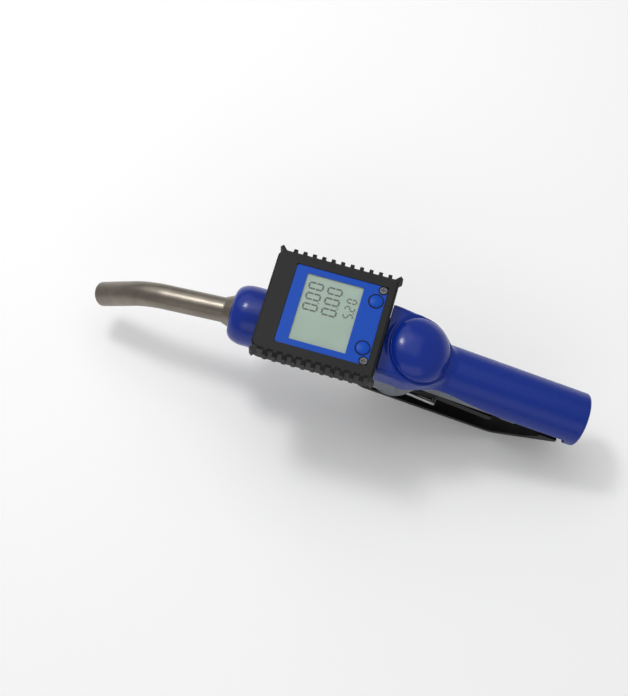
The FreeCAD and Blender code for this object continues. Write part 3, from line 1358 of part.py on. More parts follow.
def make_guard():
    """The strap that keeps the lever from knocks, from the meter body round to the end of the handle."""
    outer, inner = "-guard_drop", "-guard_drop + guard_thick"
    front = "-guard_front"
    tab_top = "-pad_drop - seat_fit"
    corners = [(front, "-24"),
               (front, "%s + guard_corner_rad" % outer),
               ("%s + guard_corner_rad" % front, outer, "guard_corner_rad"),
               ("-guard_turn_back - 4", outer),
               ("-guard_turn_back + 4", "%s + 2.2" % outer, "20"),
               ("-guard_tail_back", "-guard_tail_drop"),
               ("-guard_end_back", "%s - guard_thick" % tab_top),
               ("-guard_end_back", tab_top),
               ("-pad_back * 2 + guard_end_back", tab_top),
               ("-pad_back * 2 + guard_end_back", "%s - guard_thick" % tab_top),
               ("-guard_tail_back - guard_thick * 0.4", "-guard_tail_drop + guard_thick"),
               ("-guard_turn_back + 3", "%s + 2.2" % inner),
               ("-guard_turn_back - 4", inner, "-17"),
               ("%s + guard_thick + guard_corner_rad / 2" % front, inner),
               ("%s + guard_thick" % front, "%s + guard_corner_rad / 2" % inner, "-guard_corner_rad / 2"),
               ("%s + guard_thick" % front, "-36 - guard_thick"),
               ("%s + guard_foot_long" % front, "-36"),
               ("%s + guard_foot_long" % front, "-24")]
    strap = padded("guard_strap", "handle", corners, "guard_half")
    taper = cone_room_for("guard")
    neck = rod("guard_neck", "barrel", "meter_rear_rad + seat_fit", "meter_rear", "valve_gap")
    tab_hole = post("guard_tab_hole", "handle", "guard_screw_rad + seat_fit", "-guard_drop", "0", "-pad_back")
    head_room = post("guard_head_room", "handle", "guard_head_rad + open_gap", "-guard_drop",
                     "%s - guard_thick" % tab_top, "-pad_back")
    tongue = slab("guard_tongue", "handle", "tongue_half", ("-tongue_back", "-tongue_back + tongue_long"),
                  ("-guard_drop * 0.65", "-tongue_drop"))
    node(join("guard_whole", cut("guard_cut", strap, taper, neck, tab_hole, head_room), tongue), "lever_guard")
    shank = post("guard_shank", "handle", "guard_screw_rad - running_fit", "%s - guard_thick" % tab_top,
                 "-pad_drop + 8", "-pad_back")
    head = post("guard_head", "handle", "guard_head_rad", "%s - guard_thick - guard_head_thick" % tab_top,
                "%s - guard_thick" % tab_top, "-pad_back")
    node(join("guard_screw_blank", shank, head), "guard_screw")


# ---------------------------------------------------------------- hand cover

def make_hand_cover():
    """The soft shell over the top of the body and the handle, open along its underside."""
    front = "bezel_back + cover_neck_gap"
    high = "cover_rim + tower_top"
    outer = join("cover_outer",
                 rod("cover_handle", "handle", "cover_rad", "-handle_len", "0"),
                 post("cover_tower", "valve", "cover_tower_rad", "-tower_foot", "cover_rim"),
                 cover_saddle(front))
    inner = join("cover_inner",
                 rod("cover_handle_room", "handle", "handle_rad + cover_gap", "-handle_len", "0"),
                 rod("cover_neck_room", "barrel", "meter_rear_rad + cover_gap", front, "valve_gap"),
                 post("cover_tower_room", "valve", "tower_rad + cover_gap", "-tower_foot", high))
    under = padded("cover_under", "handle",
                   [("-handle_len * 2", "-cover_rad * 3"),
                    ("-cover_ring", "-cover_rad * 3"),
                    ("-cover_ring", "cover_edge"),
                    ("-cover_step_back", "cover_edge"),
                    ("-cover_step_back * 1.7", "cover_edge_front"),
                    ("-handle_len * 2", "cover_edge_front")], "cover_rad * 3")
    ahead = slab("cover_ahead", "barrel", "cover_rad * 3", ("-meter_gap", front), ("-cover_rad * 3", "cover_rad * 3"))
    above = post("cover_cap_room", "valve", "cap_lip_rad + open_gap", "cover_rim", high)
    node(cut("cover_shell", outer, inner, under, ahead, above), "hand_cover")


def cover_saddle(front):
    """A block with rounded shoulders from the bezel to the tower, cut off level with the tower's rim."""
    half, top, bend = "cover_saddle_half", "cover_saddle_top", "cover_saddle_round"
    corners = [("-%s" % half, "0"),
               (half, "0"),
               (half, "%s - %s" % (top, bend)),
               ("%s - %s" % (half, bend), top, bend),
               ("-%s + %s" % (half, bend), top),
               ("-%s" % half, "%s - %s" % (top, bend), bend)]
    long_half = "(valve_gap + cover_saddle_on - (%s)) / 2" % front
    middle = "(valve_gap + cover_saddle_on + %s) / 2" % front
    block_body = padded("cover_saddle", "barrel", corners, long_half, role="YZ_Plane", x=middle)
    level = slab("cover_level", "valve", "cover_rad * 3", ("-cover_rad * 3", "cover_rad * 3"),
                 ("cover_rim", "cover_rad * 3"))
    return cut("cover_saddle_cut", block_body, level)


# ---------------------------------------------------------------- build, check and export

MAKERS = (make_spout_tube, make_vent_tube, make_spout_base, make_spout_seal, make_front_collar,
          make_check_valve, make_turbine, make_meter_body, make_register_housing, make_bezel,
          make_panel, make_gasket, make_display, make_electronics, make_buttons, make_panel_screws,
          make_nozzle_body, make_strainer, make_main_valve, make_cap, make_trip, make_diaphragm,
          make_lever, make_clip, make_guard, make_hand_cover)

sheet = make_sheets()
for maker in MAKERS:
    maker()
doc.recompute()

for item in doc.Objects:
    if "Invalid" in item.State or "Error" in item.State:
        raise RuntimeError("%s did not compute: %s" % (item.Name, item.State))

os.makedirs("parts", exist_ok=True)
for item in nodes:
    shape = item.Shape
    if shape.isNull() or not shape.isValid() or not shape.Solids:
        raise RuntimeError("%s has no valid solid" % item.Label)
    shape.exportStep("parts/%s.step" % item.Label)
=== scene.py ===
"""A hand-held metering fuel nozzle: its moulded and turned outer pieces, finishes and a plain studio."""

import json
import math

import bmesh
import bpy
import numpy as np
from bpy.props import FloatProperty, FloatVectorProperty, PointerProperty
from mathutils import Matrix, Vector


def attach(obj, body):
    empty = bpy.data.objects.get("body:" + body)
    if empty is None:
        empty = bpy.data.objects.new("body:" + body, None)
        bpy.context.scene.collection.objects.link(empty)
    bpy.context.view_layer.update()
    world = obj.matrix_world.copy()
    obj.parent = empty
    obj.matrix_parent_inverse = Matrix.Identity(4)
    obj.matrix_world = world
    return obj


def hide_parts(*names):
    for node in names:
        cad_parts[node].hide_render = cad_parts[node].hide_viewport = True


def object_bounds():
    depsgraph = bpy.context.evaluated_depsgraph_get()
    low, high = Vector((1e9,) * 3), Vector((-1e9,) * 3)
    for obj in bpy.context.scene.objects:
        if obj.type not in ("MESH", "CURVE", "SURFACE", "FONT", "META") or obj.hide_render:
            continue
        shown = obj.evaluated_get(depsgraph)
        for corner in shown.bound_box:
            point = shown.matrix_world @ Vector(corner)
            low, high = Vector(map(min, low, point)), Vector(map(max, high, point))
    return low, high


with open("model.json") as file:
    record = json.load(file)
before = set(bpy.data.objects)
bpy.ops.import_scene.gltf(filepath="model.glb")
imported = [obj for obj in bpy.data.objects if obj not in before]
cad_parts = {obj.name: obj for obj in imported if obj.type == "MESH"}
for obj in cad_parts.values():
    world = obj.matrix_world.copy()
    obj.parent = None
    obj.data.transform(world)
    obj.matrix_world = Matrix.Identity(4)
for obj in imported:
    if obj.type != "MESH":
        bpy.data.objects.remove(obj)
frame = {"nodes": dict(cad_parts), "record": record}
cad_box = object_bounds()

bl_info = {
    "name": "Metering fuel nozzle",
    "version": (1, 0, 0),
    "blender": (4, 5, 0),
    "location": "View3D > Sidebar > Nozzle",
    "description": "Builds the outer pieces, finishes and studio of a metering fuel nozzle",
    "category": "Object",
}

MM = 0.001


def degrees(value):
    """An angle given in degrees, in radians."""
    return math.radians(value)


# ---------------------------------------------------------------- the nozzle's own axes

HANDLE_TILT = 11.7          # between the handle and the barrel
VALVE_LEAN = 22.0           # of the cap's axis towards the handle
SPOUT_DROOP = 8.0           # of the spout's first run below the barrel
HANDLE_LEN = 133.0          # inlet face to the bend in the body
METER_GAP = 68.0            # bend to the middle of the display
VALVE_GAP = 58.2            # middle of the display to the foot of the cap's axis
SPOUT_GAP = 71.0            # middle of the display to the root of the spout

BEND_X = -HANDLE_LEN * math.cos(degrees(HANDLE_TILT))
BARREL_Z = HANDLE_LEN * math.sin(degrees(HANDLE_TILT))
METER_X = BEND_X - METER_GAP


def axes(x, z, turn):
    """An origin in the plane of symmetry, with its X and Z axes turned about Y, in millimetres."""
    across, along = math.sin(degrees(turn)), math.cos(degrees(turn))
    rows = np.array([[along, 0.0, -across], [0.0, 1.0, 0.0], [across, 0.0, along]])
    return np.array([x, 0.0, z]), rows


HANDLE = axes(0.0, 0.0, HANDLE_TILT)
BARREL = axes(METER_X, BARREL_Z, 0.0)
VALVE = axes(METER_X + VALVE_GAP, BARREL_Z, VALVE_LEAN)
SPOUT = axes(METER_X - SPOUT_GAP, BARREL_Z, 180.0 - SPOUT_DROOP)


def from_axes(points, system):
    """Points given along a system's own axes, in the nozzle's frame."""
    origin, rows = system
    return origin + points @ rows


def in_axes(points, system):
    """Points of the nozzle's frame, measured along a system's own axes."""
    origin, rows = system
    return (points - origin) @ rows.T


# ---------------------------------------------------------------- meshes from grids

def grid_mesh(name, grid, wrap_rows, wrap_columns, merge=False):
    """A mesh over a grid of points, in millimetres. Each face joins four neighbours, and a wrapped side closes
    on itself."""
    rows, columns = grid.shape[:2]
    row = np.arange(rows if wrap_rows else rows - 1)[:, None]
    column = np.arange(columns if wrap_columns else columns - 1)[None, :]
    next_row = (row + 1) % rows
    next_column = (column + 1) % columns
    corners = [row * columns + column, row * columns + next_column,
               next_row * columns + next_column, next_row * columns + column]
    spread = [np.broadcast_to(corner, (row.size, column.size)) for corner in corners]
    faces = np.stack(spread, axis=-1).reshape(-1, 4)
    return face_mesh(name, grid.reshape(-1, 3), faces, merge)


def face_mesh(name, points, faces, merge=False):
    """A smooth-shaded mesh object from arrays of points, in millimetres, and four-cornered faces."""
    mesh = bpy.data.meshes.new(name)
    mesh.from_pydata((points * MM).tolist(), [], faces.tolist())
    if merge:
        work = bmesh.new()
        work.from_mesh(mesh)
        bmesh.ops.remove_doubles(work, verts=work.verts, dist=0.5e-6)
        bmesh.ops.recalc_face_normals(work, faces=work.faces)
        work.to_mesh(mesh)
        work.free()
    mesh.validate()
    mesh.polygons.foreach_set("use_smooth", [True] * len(mesh.polygons))
    mesh.update()
    piece = bpy.data.objects.new(name, mesh)
    bpy.context.scene.collection.objects.link(piece)
    return piece


def softened(corners, steps=7):
    """A profile with its corners rounded. Each corner (along, out, reach) becomes the curve that starts and
    ends reach away from it and bends towards it: start, corner and end weigh (1-t)^2, 2t(1-t) and t^2."""
    corners = [np.array(c, float) for c in corners]
    t = np.linspace(0.0, 1.0, steps)[:, None]
    profile = []
    for index, corner in enumerate(corners):
        before, after = corners[index - 1][:2], corners[(index + 1) % len(corners)][:2]
        reach, spot = corner[2], corner[:2]
        if reach <= 0.0:
            profile.append(spot[None, :])
            continue
        start = spot + (before - spot) / np.linalg.norm(before - spot) * reach
        end = spot + (after - spot) / np.linalg.norm(after - spot) * reach
        profile.append((1 - t) ** 2 * start + 2 * t * (1 - t) * spot + t ** 2 * end)
    return np.concatenate(profile)


def turned(name, profile, system, upright=False, steps=128):
    """A closed profile turned about an axis: out times the cosine and sine of the turn, and along as it is."""
    turn = np.linspace(0.0, 2 * np.pi, steps, endpoint=False)
    along = np.broadcast_to(profile[:, :1], (len(profile), steps))
    side, up = profile[:, 1:] * np.cos(turn), profile[:, 1:] * np.sin(turn)
    grid = np.stack([side, up, along] if upright else [along, side, up], axis=-1)
    return grid_mesh(name, from_axes(grid, system), True, True, merge=True)


# ---------------------------------------------------------------- materials

def linear(code):
    """An sRGB hex colour as the linear colour that the shaders take."""
    values = [int(code[i:i + 2], 16) / 255.0 for i in (1, 3, 5)]
    return tuple(v / 12.92 if v <= 0.04045 else ((v + 0.055) / 1.055) ** 2.4 for v in values) + (1.0,)


def add(tree, kind, settings=None, inputs=None):
    """Adds a node; an input given as a socket is linked, and any other is set."""
    node = tree.nodes.new(kind)
    for key, value in (settings or {}).items():
        setattr(node, key, value)
    for key, value in (inputs or {}).items():
        if isinstance(value, bpy.types.NodeSocket):
            tree.links.new(value, node.inputs[key])
        else:
            node.inputs[key].default_value = value
    return node


def surface(name, colour, roughness, metallic=0.0, **sockets):
    """A new material with one shader whose plain values are set on its own sockets."""
    material = bpy.data.materials.new(name)
    material.use_nodes = True
    material.diffuse_color = colour
    tree = material.node_tree
    tree.nodes.clear()
    inputs = {"Base Color": colour, "Roughness": roughness, "Metallic": metallic}
    inputs.update(sockets)
    shader = add(tree, "ShaderNodeBsdfPrincipled", inputs=inputs)
    add(tree, "ShaderNodeOutputMaterial", inputs={"Surface": shader.outputs["BSDF"]})
    return material, tree, shader


def grain(tree, shader, size_mm, depth_mm, rough=None, detail=3.0, stretch=(1.0, 1.0, 1.0), tint=None):
    """A relief of one feature size, if it has a depth, and if asked, a change of roughness or of colour."""
    place = add(tree, "ShaderNodeTexCoord")
    mapping = add(tree, "ShaderNodeMapping", inputs={
        "Vector": place.outputs["Object"], "Scale": stretch})
    noise = add(tree, "ShaderNodeTexNoise", inputs={
        "Vector": mapping.outputs["Vector"], "Scale": 1.0 / (size_mm * MM),
        "Detail": detail, "Roughness": 0.55})
    if depth_mm:
        bump = add(tree, "ShaderNodeBump", inputs={
            "Height": noise.outputs["Fac"], "Distance": depth_mm * MM, "Strength": 0.6})
        tree.links.new(bump.outputs["Normal"], shader.inputs["Normal"])
    if rough:
        span = add(tree, "ShaderNodeMapRange", inputs={
            "Value": noise.outputs["Fac"], "From Min": 0.3, "From Max": 0.7,
            "To Min": rough[0], "To Max": rough[1]})
        tree.links.new(span.outputs["Result"], shader.inputs["Roughness"])
    if tint:
        broad = add(tree, "ShaderNodeTexNoise", inputs={
            "Vector": place.outputs["Object"], "Scale": 1.0 / (tint[2] * MM), "Detail": 2.0})
        ramp = add(tree, "ShaderNodeValToRGB", inputs={"Fac": broad.outputs["Fac"]})
        ramp.color_ramp.elements[0].position = 0.35
        ramp.color_ramp.elements[1].position = 0.65
        ramp.color_ramp.elements[0].color = linear(tint[0])
        ramp.color_ramp.elements[1].color = linear(tint[1])
        tree.links.new(ramp.outputs["Color"], shader.inputs["Base Color"])


def satin_steel():
    """Drawn stainless tube, tumbled: a soft warm grey metal whose reflections run into long bands."""
    material, tree, shader = surface("stainless_steel_satin", linear("#857E76"), 0.34, 1.0)
    grain(tree, shader, 0.5, 0.012, (0.28, 0.4), tint=("#7F786F", "#8A8379", 14.0))
    return material


def spring_steel():
    """Drawn and turned steel: clean and grey, with a narrow highlight."""
    material, tree, shader = surface("steel_drawn", linear("#A3A3A5"), 0.28, 1.0)
    grain(tree, shader, 0.4, 0.01, (0.22, 0.34), tint=("#9B9B9E", "#ABABAC", 8.0))
    return material


def screw_steel():
    """Blackened steel screws: dark, with a dull metal glint."""
    material, tree, shader = surface("steel_blackened", linear("#57575A"), 0.36, 1.0)
    grain(tree, shader, 0.4, 0.02, (0.3, 0.45), tint=("#4C4C50", "#626266", 4.0))
    return material


def brass():
    """Machined brass: a warm yellow metal with a fine turned surface."""
    material, tree, shader = surface("brass_machined", linear("#B99B5B"), 0.3, 1.0)
    grain(tree, shader, 0.3, 0.01, (0.24, 0.36), tint=("#AE9051", "#C2A566", 6.0))
    return material


def grey_casting():
    """Cast aluminium under a thin grey coat: a slightly pebbled, dull metal."""
    material, tree, shader = surface("aluminium_cast_coated", linear("#6A6F79"), 0.42, 0.7)
    grain(tree, shader, 0.9, 0.06, (0.36, 0.5), tint=("#646973", "#727781", 12.0))
    return material


def cell_steel():
    """A shrink-wrapped cell: smooth dark film."""
    material, tree, shader = surface("shrink_film_gloss", linear("#34343A"), 0.3, 0.0)
    grain(tree, shader, 1.2, 0.02, (0.25, 0.36))
    return material


def blue_coat():
    """Glossy moulded nylon: deep blue with a clear, faintly rippled highlight."""
    colour = tuple(bpy.context.scene.nozzle_colours.coat)
    material, tree, shader = surface("nylon_gloss_blue", colour, 0.2, 0.0,
                                     **{"Specular IOR Level": 0.35})
    grain(tree, shader, 4.0, 0.01, (0.18, 0.22), detail=1.0)
    return material


def blue_cover():
    """Dip-moulded soft vinyl: glossy, with the slow ripple of a thick skin over metal."""
    colour = tuple(bpy.context.scene.nozzle_colours.cover)
    material, tree, shader = surface("vinyl_dipped_blue", colour, 0.3, 0.0,
                                     **{"Specular IOR Level": 0.3})
    grain(tree, shader, 6.0, 0.0, (0.27, 0.33), detail=1.0)
    return material


def blue_panel():
    """Printed polyester overlay: even satin blue with a fine texture."""
    colour = tuple(bpy.context.scene.nozzle_colours.panel)
    material, tree, shader = surface("polyester_film_satin", colour, 0.36, 0.0,
                                     **{"Specular IOR Level": 0.15})
    grain(tree, shader, 0.35, 0.012, (0.33, 0.44))
    return material


def dark_plastic():
    """Spark-eroded ABS: a matt charcoal with a fine pebble grain."""
    material, tree, shader = surface("abs_grained_charcoal", linear("#111113"), 0.5, 0.0,
                                     **{"Specular IOR Level": 0.25})
    grain(tree, shader, 0.5, 0.05, (0.46, 0.6))
    return material


def black_plastic():
    """Glass-filled nylon: black with a low, slightly streaked sheen."""
    material, tree, shader = surface("nylon_filled_black", linear("#060607"), 0.4, 0.0,
                                     **{"Specular IOR Level": 0.2})
    grain(tree, shader, 0.8, 0.03, (0.34, 0.48))
    return material


def black_rubber():
    """Moulded nitrile rubber: flat black that barely reflects."""
    material, tree, shader = surface("nitrile_rubber", linear("#1B1B1B"), 0.7, 0.0)
    grain(tree, shader, 0.6, 0.03, (0.62, 0.78))
    return material


def acetal():
    """Moulded acetal: milky white, waxy, with a soft highlight."""
    material, tree, shader = surface("acetal_moulded", linear("#DAD8CF"), 0.38, 0.0)
    grain(tree, shader, 0.8, 0.02, (0.33, 0.45))
    return material


def window_glass():
    """Clear acrylic window: almost only its reflection shows."""
    material, tree, shader = surface("acrylic_clear", linear("#F2F7F4"), 0.12, 0.0,
                                     Alpha=0.06, IOR=1.49)
    grain(tree, shader, 3.0, 0.004, (0.1, 0.16), detail=1.0)
    return material


def lcd_grey():
    """Reflective display film: flat grey-green."""
    material, tree, shader = surface("display_film", linear("#8DA394"), 0.6, 0.0)
    grain(tree, shader, 0.5, 0.006, (0.55, 0.68), tint=("#8AA091", "#91A798", 30.0))
    return material


def lcd_ink():
    """Switched-on crystal bars: dark green-grey, as flat as the film under them."""
    material, tree, shader = surface("display_bars", linear("#22332F"), 0.6, 0.0)
    grain(tree, shader, 0.5, 0.006, (0.55, 0.68))
    return material


def board_green():
    """Circuit board under solder mask: glossy green."""
    material, tree, shader = surface("solder_mask_green", linear("#1D6B3B"), 0.28, 0.0)
    grain(tree, shader, 1.0, 0.02, (0.22, 0.36))
    return material


FINISHES = (satin_steel, spring_steel, screw_steel, brass, grey_casting, cell_steel, blue_coat,
            blue_cover, blue_panel, dark_plastic, black_plastic, black_rubber, acetal, window_glass,
            lcd_grey, lcd_ink, board_green)
made = {}


def finish_of(slot):
    """The finish of one of the part's material slots, made once."""
    if slot not in made:
        made[slot] = {maker.__name__: maker for maker in FINISHES}[slot]()
    return made[slot]


def fit(piece, body, slot, replaced=()):
    """Gives a piece its finish and its body, and hides the nodes it stands for."""
    piece.data.materials.clear()
    piece.data.materials.append(finish_of(slot))
    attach(piece, body)
    if replaced:
        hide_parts(*replaced)


# ------------------------------------------------ sizes and colours that a user would change

def length(name, description, millimetres):
    """A length that the user can change, given here in millimetres."""
    return FloatProperty(name=name, description=description, default=millimetres * MM, unit="LENGTH")


def colour(name, description, code):
    """A colour that the user can change, given here as sRGB hex."""
    return FloatVectorProperty(name=name, description=description, default=linear(code), size=4,
                               min=0.0, max=1.0, subtype="COLOR")


class NozzleSizes(bpy.types.PropertyGroup):
    """Sizes of the outer pieces."""
    spout_rad: length("Spout radius", "Outside radius of the spout tube", 9.5)
    spout_wall: length("Spout wall", "Wall of the spout tube", 1.2)
    collar_rad: length("Collar radius", "Outside radius of the union collar", 22.9)
    cap_rad: length("Cap lip radius", "Radius of the lip round the domed cap", 24.8)
    cap_dome: length("Dome rise", "Rise of the dome above its lip", 11.0)
    cover_rad: length("Cover radius", "Outside radius of the hand cover along the handle", 20.75)
    cover_skin: length("Cover skin", "Thickness of the hand cover", 1.7)
    cover_blend: length("Cover blend", "Width of the soft blend between handle and shoulders", 7.0)


class NozzleColours(bpy.types.PropertyGroup):
    """Colours of the coloured pieces."""
    coat: colour("Hard blue", "The collar and the domed cap", "#0B2A88")
    cover: colour("Cover blue", "The hand cover", "#0A2A86")
    panel: colour("Panel blue", "The face panel and the buttons", "#0546AE")


def size(name):
    """One of the user's sizes, in millimetres."""
    return getattr(bpy.context.scene.nozzle_sizes, name) / MM


# ---------------------------------------------------------------- spout

SPOUT_START = -8.0          # the tube's end inside its base
SPOUT_RUN = 72.0            # root to the corner of the bend
SPOUT_TURN = 27.6
SPOUT_TURN_RAD = 60.0
SPOUT_TIP = 47.6            # corner of the bend to the end
BASE_BACK = -11.9           # places along the spout, from its root
BASE_FLANGE = -5.4
BASE_NECK = 2.0
BASE_CONE = 9.0
BASE_LIP = 9.9
BASE_FLANGE_RAD = 16.9
BASE_NECK_RAD = 13.6
BASE_LIP_RAD = 10.5
RUNNING_FIT = 0.05
COLLAR_FRONT = -75.0        # places along the barrel, from the middle of the display
COLLAR_SHOULDER = -62.0
COLLAR_SEAT = -68.5
COLLAR_BACK = -46.0
COLLAR_MOUTH = 14.4
COLLAR_BORE = 18.9
COLLAR_DROP = 7.4           # how far the shoulder comes in towards the front


def spout_line(distance):
    """The spout's centre line and its directions at distances along it: a straight, an arc, a straight."""
    tangent = SPOUT_TURN_RAD * math.tan(degrees(SPOUT_TURN) / 2)
    bend_start = SPOUT_RUN - tangent
    turn = np.clip((distance - bend_start) / SPOUT_TURN_RAD, 0.0, degrees(SPOUT_TURN))
    first = np.minimum(distance, bend_start)
    last = np.maximum(distance - bend_start - SPOUT_TURN_RAD * degrees(SPOUT_TURN), 0.0)
    along = first + SPOUT_TURN_RAD * np.sin(turn) + last * np.cos(turn)
    down = SPOUT_TURN_RAD * (1 - np.cos(turn)) + last * np.sin(turn)
    return along, down, turn


class NOZZLE_OT_spout(bpy.types.Operator):
    """Build the bent spout tube and the turned base that holds it"""
    bl_idname = "nozzle.spout"
    bl_label = "Spout"

    def execute(self, context):
        self.tube()
        self.base()
        return {"FINISHED"}

    def tube(self):
        """A circle carried along the spout's line: out along the wall, round the lip, and back inside."""
        outer, inner = size("spout_rad"), size("spout_rad") - size("spout_wall")
        tangent = SPOUT_TURN_RAD * math.tan(degrees(SPOUT_TURN) / 2)
        total = SPOUT_RUN - 2 * tangent + SPOUT_TURN_RAD * degrees(SPOUT_TURN) + SPOUT_TIP
        lip = (outer - inner) / 2
        steps = np.linspace(SPOUT_START, total - lip, 90)
        edge = np.linspace(0.0, np.pi, 9)[1:-1]
        distance = np.concatenate([steps, total - lip + lip * np.sin(edge), steps[::-1]])
        radius = np.concatenate([np.full(steps.size, outer),
                                 (outer + inner) / 2 + lip * np.cos(edge),
                                 np.full(steps.size, inner)])
        along, down, bend = spout_line(distance)
        turn = np.linspace(0.0, 2 * np.pi, 96, endpoint=False)
        side = radius[:, None] * np.cos(turn)
        out = radius[:, None] * np.sin(turn)
        x = along[:, None] + out * np.sin(bend)[:, None]
        z = down[:, None] - out * np.cos(bend)[:, None]
        grid = from_axes(np.stack([x, side, z], axis=-1), SPOUT)
        piece = grid_mesh("spout_skin", grid, True, True, merge=True)
        fit(piece, "root", "satin_steel", ["spout_tube"])

    def base(self):
        """A turned profile: flange, neck, cone and lip, bored for the tube."""
        bore = size("spout_rad") + RUNNING_FIT
        profile = softened([(BASE_BACK, bore, 0.1), (BASE_LIP, bore, 0.1), (BASE_LIP, BASE_LIP_RAD, 0.35),
                            (BASE_CONE, BASE_LIP_RAD, 0.4), (BASE_NECK, BASE_NECK_RAD, 1.6),
                            (BASE_FLANGE, BASE_NECK_RAD, 0.4), (BASE_FLANGE, BASE_FLANGE_RAD, 0.5),
                            (BASE_BACK, BASE_FLANGE_RAD, 0.5)])
        fit(turned("spout_cone", profile, SPOUT), "root", "satin_steel", ["spout_base"])


class NOZZLE_OT_collar(bpy.types.Operator):
    """Build the coloured union collar with its large front rounding"""
    bl_idname = "nozzle.collar"
    bl_label = "Collar"

    def execute(self, context):
        """A turned profile whose front shoulder is a quarter of an ellipse, longer along the barrel than
        across it."""
        outer = size("collar_rad")
        turn = np.linspace(0.0, np.pi / 2, 24)
        reach = COLLAR_SHOULDER - COLLAR_FRONT
        shoulder = np.stack([COLLAR_SHOULDER - reach * np.sin(turn),
                             outer - COLLAR_DROP + COLLAR_DROP * np.cos(turn)], axis=-1)
        rest = softened([(COLLAR_FRONT, COLLAR_MOUTH, 0.5), (COLLAR_SEAT, COLLAR_MOUTH, 0.3),
                         (COLLAR_SEAT, COLLAR_BORE, 0.3), (COLLAR_BACK, COLLAR_BORE, 0.3),
                         (COLLAR_BACK, outer, 0.6), (COLLAR_SHOULDER, outer, 0.0)])
        profile = np.concatenate([rest[:-1], shoulder])
        fit(turned("collar_shell", profile, BARREL, steps=160), "root", "blue_coat", ["front_collar"])
        return {"FINISHED"}


CAP_FOOT = 20.7             # heights along the cap's axis
CAP_LIP_FOOT = 26.2
CAP_LIP_TOP = 27.6
CAP_WALL = 3.0


class NOZZLE_OT_cap(bpy.types.Operator):
    """Build the domed cap with its rolled lip"""
    bl_idname = "nozzle.cap"
    bl_label = "Domed cap"

    def execute(self, context):
        """A turned profile: wall, rolled lip and a full crown over it."""
        lip, rise = size("cap_rad"), size("cap_dome")
        step = 0.5
        dome = self.crown(lip - 0.6, rise, CAP_LIP_TOP, 40)
        inside = self.crown(lip - CAP_WALL - 3 * step, rise - CAP_WALL, CAP_LIP_TOP, 30)[::-1]
        wall = softened([(CAP_FOOT, lip - CAP_WALL - step, 0.0), (CAP_FOOT, lip - step, 0.3),
                         (CAP_LIP_FOOT, lip - step, 0.0), (CAP_LIP_FOOT, lip, 0.35), (CAP_LIP_TOP, lip, 0.3)])
        profile = np.concatenate([wall, dome, inside])
        dome = turned("cap_dome", profile, VALVE, upright=True, steps=160)
        fit(dome, "root", "blue_coat", ["valve_cap"])
        return {"FINISHED"}

    def crown(self, radius, rise, foot, steps):
        """Height along the axis and distance out of a full crown, from its edge to the axis: the rise times
        one less the distance's share to the power 2.3, to the power 0.72."""
        share = np.sin(np.linspace(np.pi / 2, 0.0, steps))
        return np.stack([foot + rise * (1 - share ** 2.3) ** 0.72, radius * share], axis=-1)


# ---------------------------------------------------------------- hand cover

COVER_FRONT = METER_GAP + HANDLE_LEN - 41.0     # travel from the inlet face to behind the bezel
COVER_ROWS = 300
COVER_COLUMNS = 140
COVER_END_ROUND = 2.2
TOWER_RAD = 26.4
TOWER_RIM = 25.8            # height of the rim along the cap's axis
SHOULDER_HALF = 27.4
SHOULDER_TOP = 33.0
SHOULDER_BACK = 66.0
CAP_ROOM = 23.6             # radius left open under the cap


def merged(a, b, width):
    """The smaller of two distances, with the step between them rounded over a width."""
    share = np.clip(0.5 + 0.5 * (b - a) / width, 0.0, 1.0)
    return b * (1 - share) + a * share - width * share * (1 - share)


def rounded_block(parts, corner):
    """Distance to a block, given how far a point is past each of its faces; its corners have one radius."""
    past = np.stack(parts) + corner
    return np.linalg.norm(np.maximum(past, 0.0), axis=0) + np.minimum(past.max(axis=0), 0.0) - corner


def cover_distance(points):
    """Distance from the cover's outside: a rod along the handle with a round end, merged with a round tower
    and square shoulders that stop level with the tower's rim."""
    handle, barrel, valve = in_axes(points, HANDLE), in_axes(points, BARREL), in_axes(points, VALVE)
    rod = rounded_block([np.hypot(handle[..., 1], handle[..., 2]) - size("cover_rad"), handle[..., 0]],
                        COVER_END_ROUND)
    over_rim = valve[..., 2] - TOWER_RIM
    tower = rounded_block([np.hypot(valve[..., 0], valve[..., 1]) - TOWER_RAD, over_rim], 1.3)
    shoulders = rounded_block([np.abs(barrel[..., 1]) - SHOULDER_HALF, barrel[..., 2] - SHOULDER_TOP,
                               barrel[..., 0] - SHOULDER_BACK, over_rim], 4.5)
    top = np.maximum(merged(tower, shoulders, 3.0), over_rim)
    return merged(rod, top, size("cover_blend"))


def cover_edge(travel):
    """Height of the cover's lower edge over the handle's axis: low along the grip, and a step up towards
    the meter."""
    return np.interp(travel, [0.0, 62.0, 105.0, 200.0], [1.5, 1.5, 8.2, 8.2])


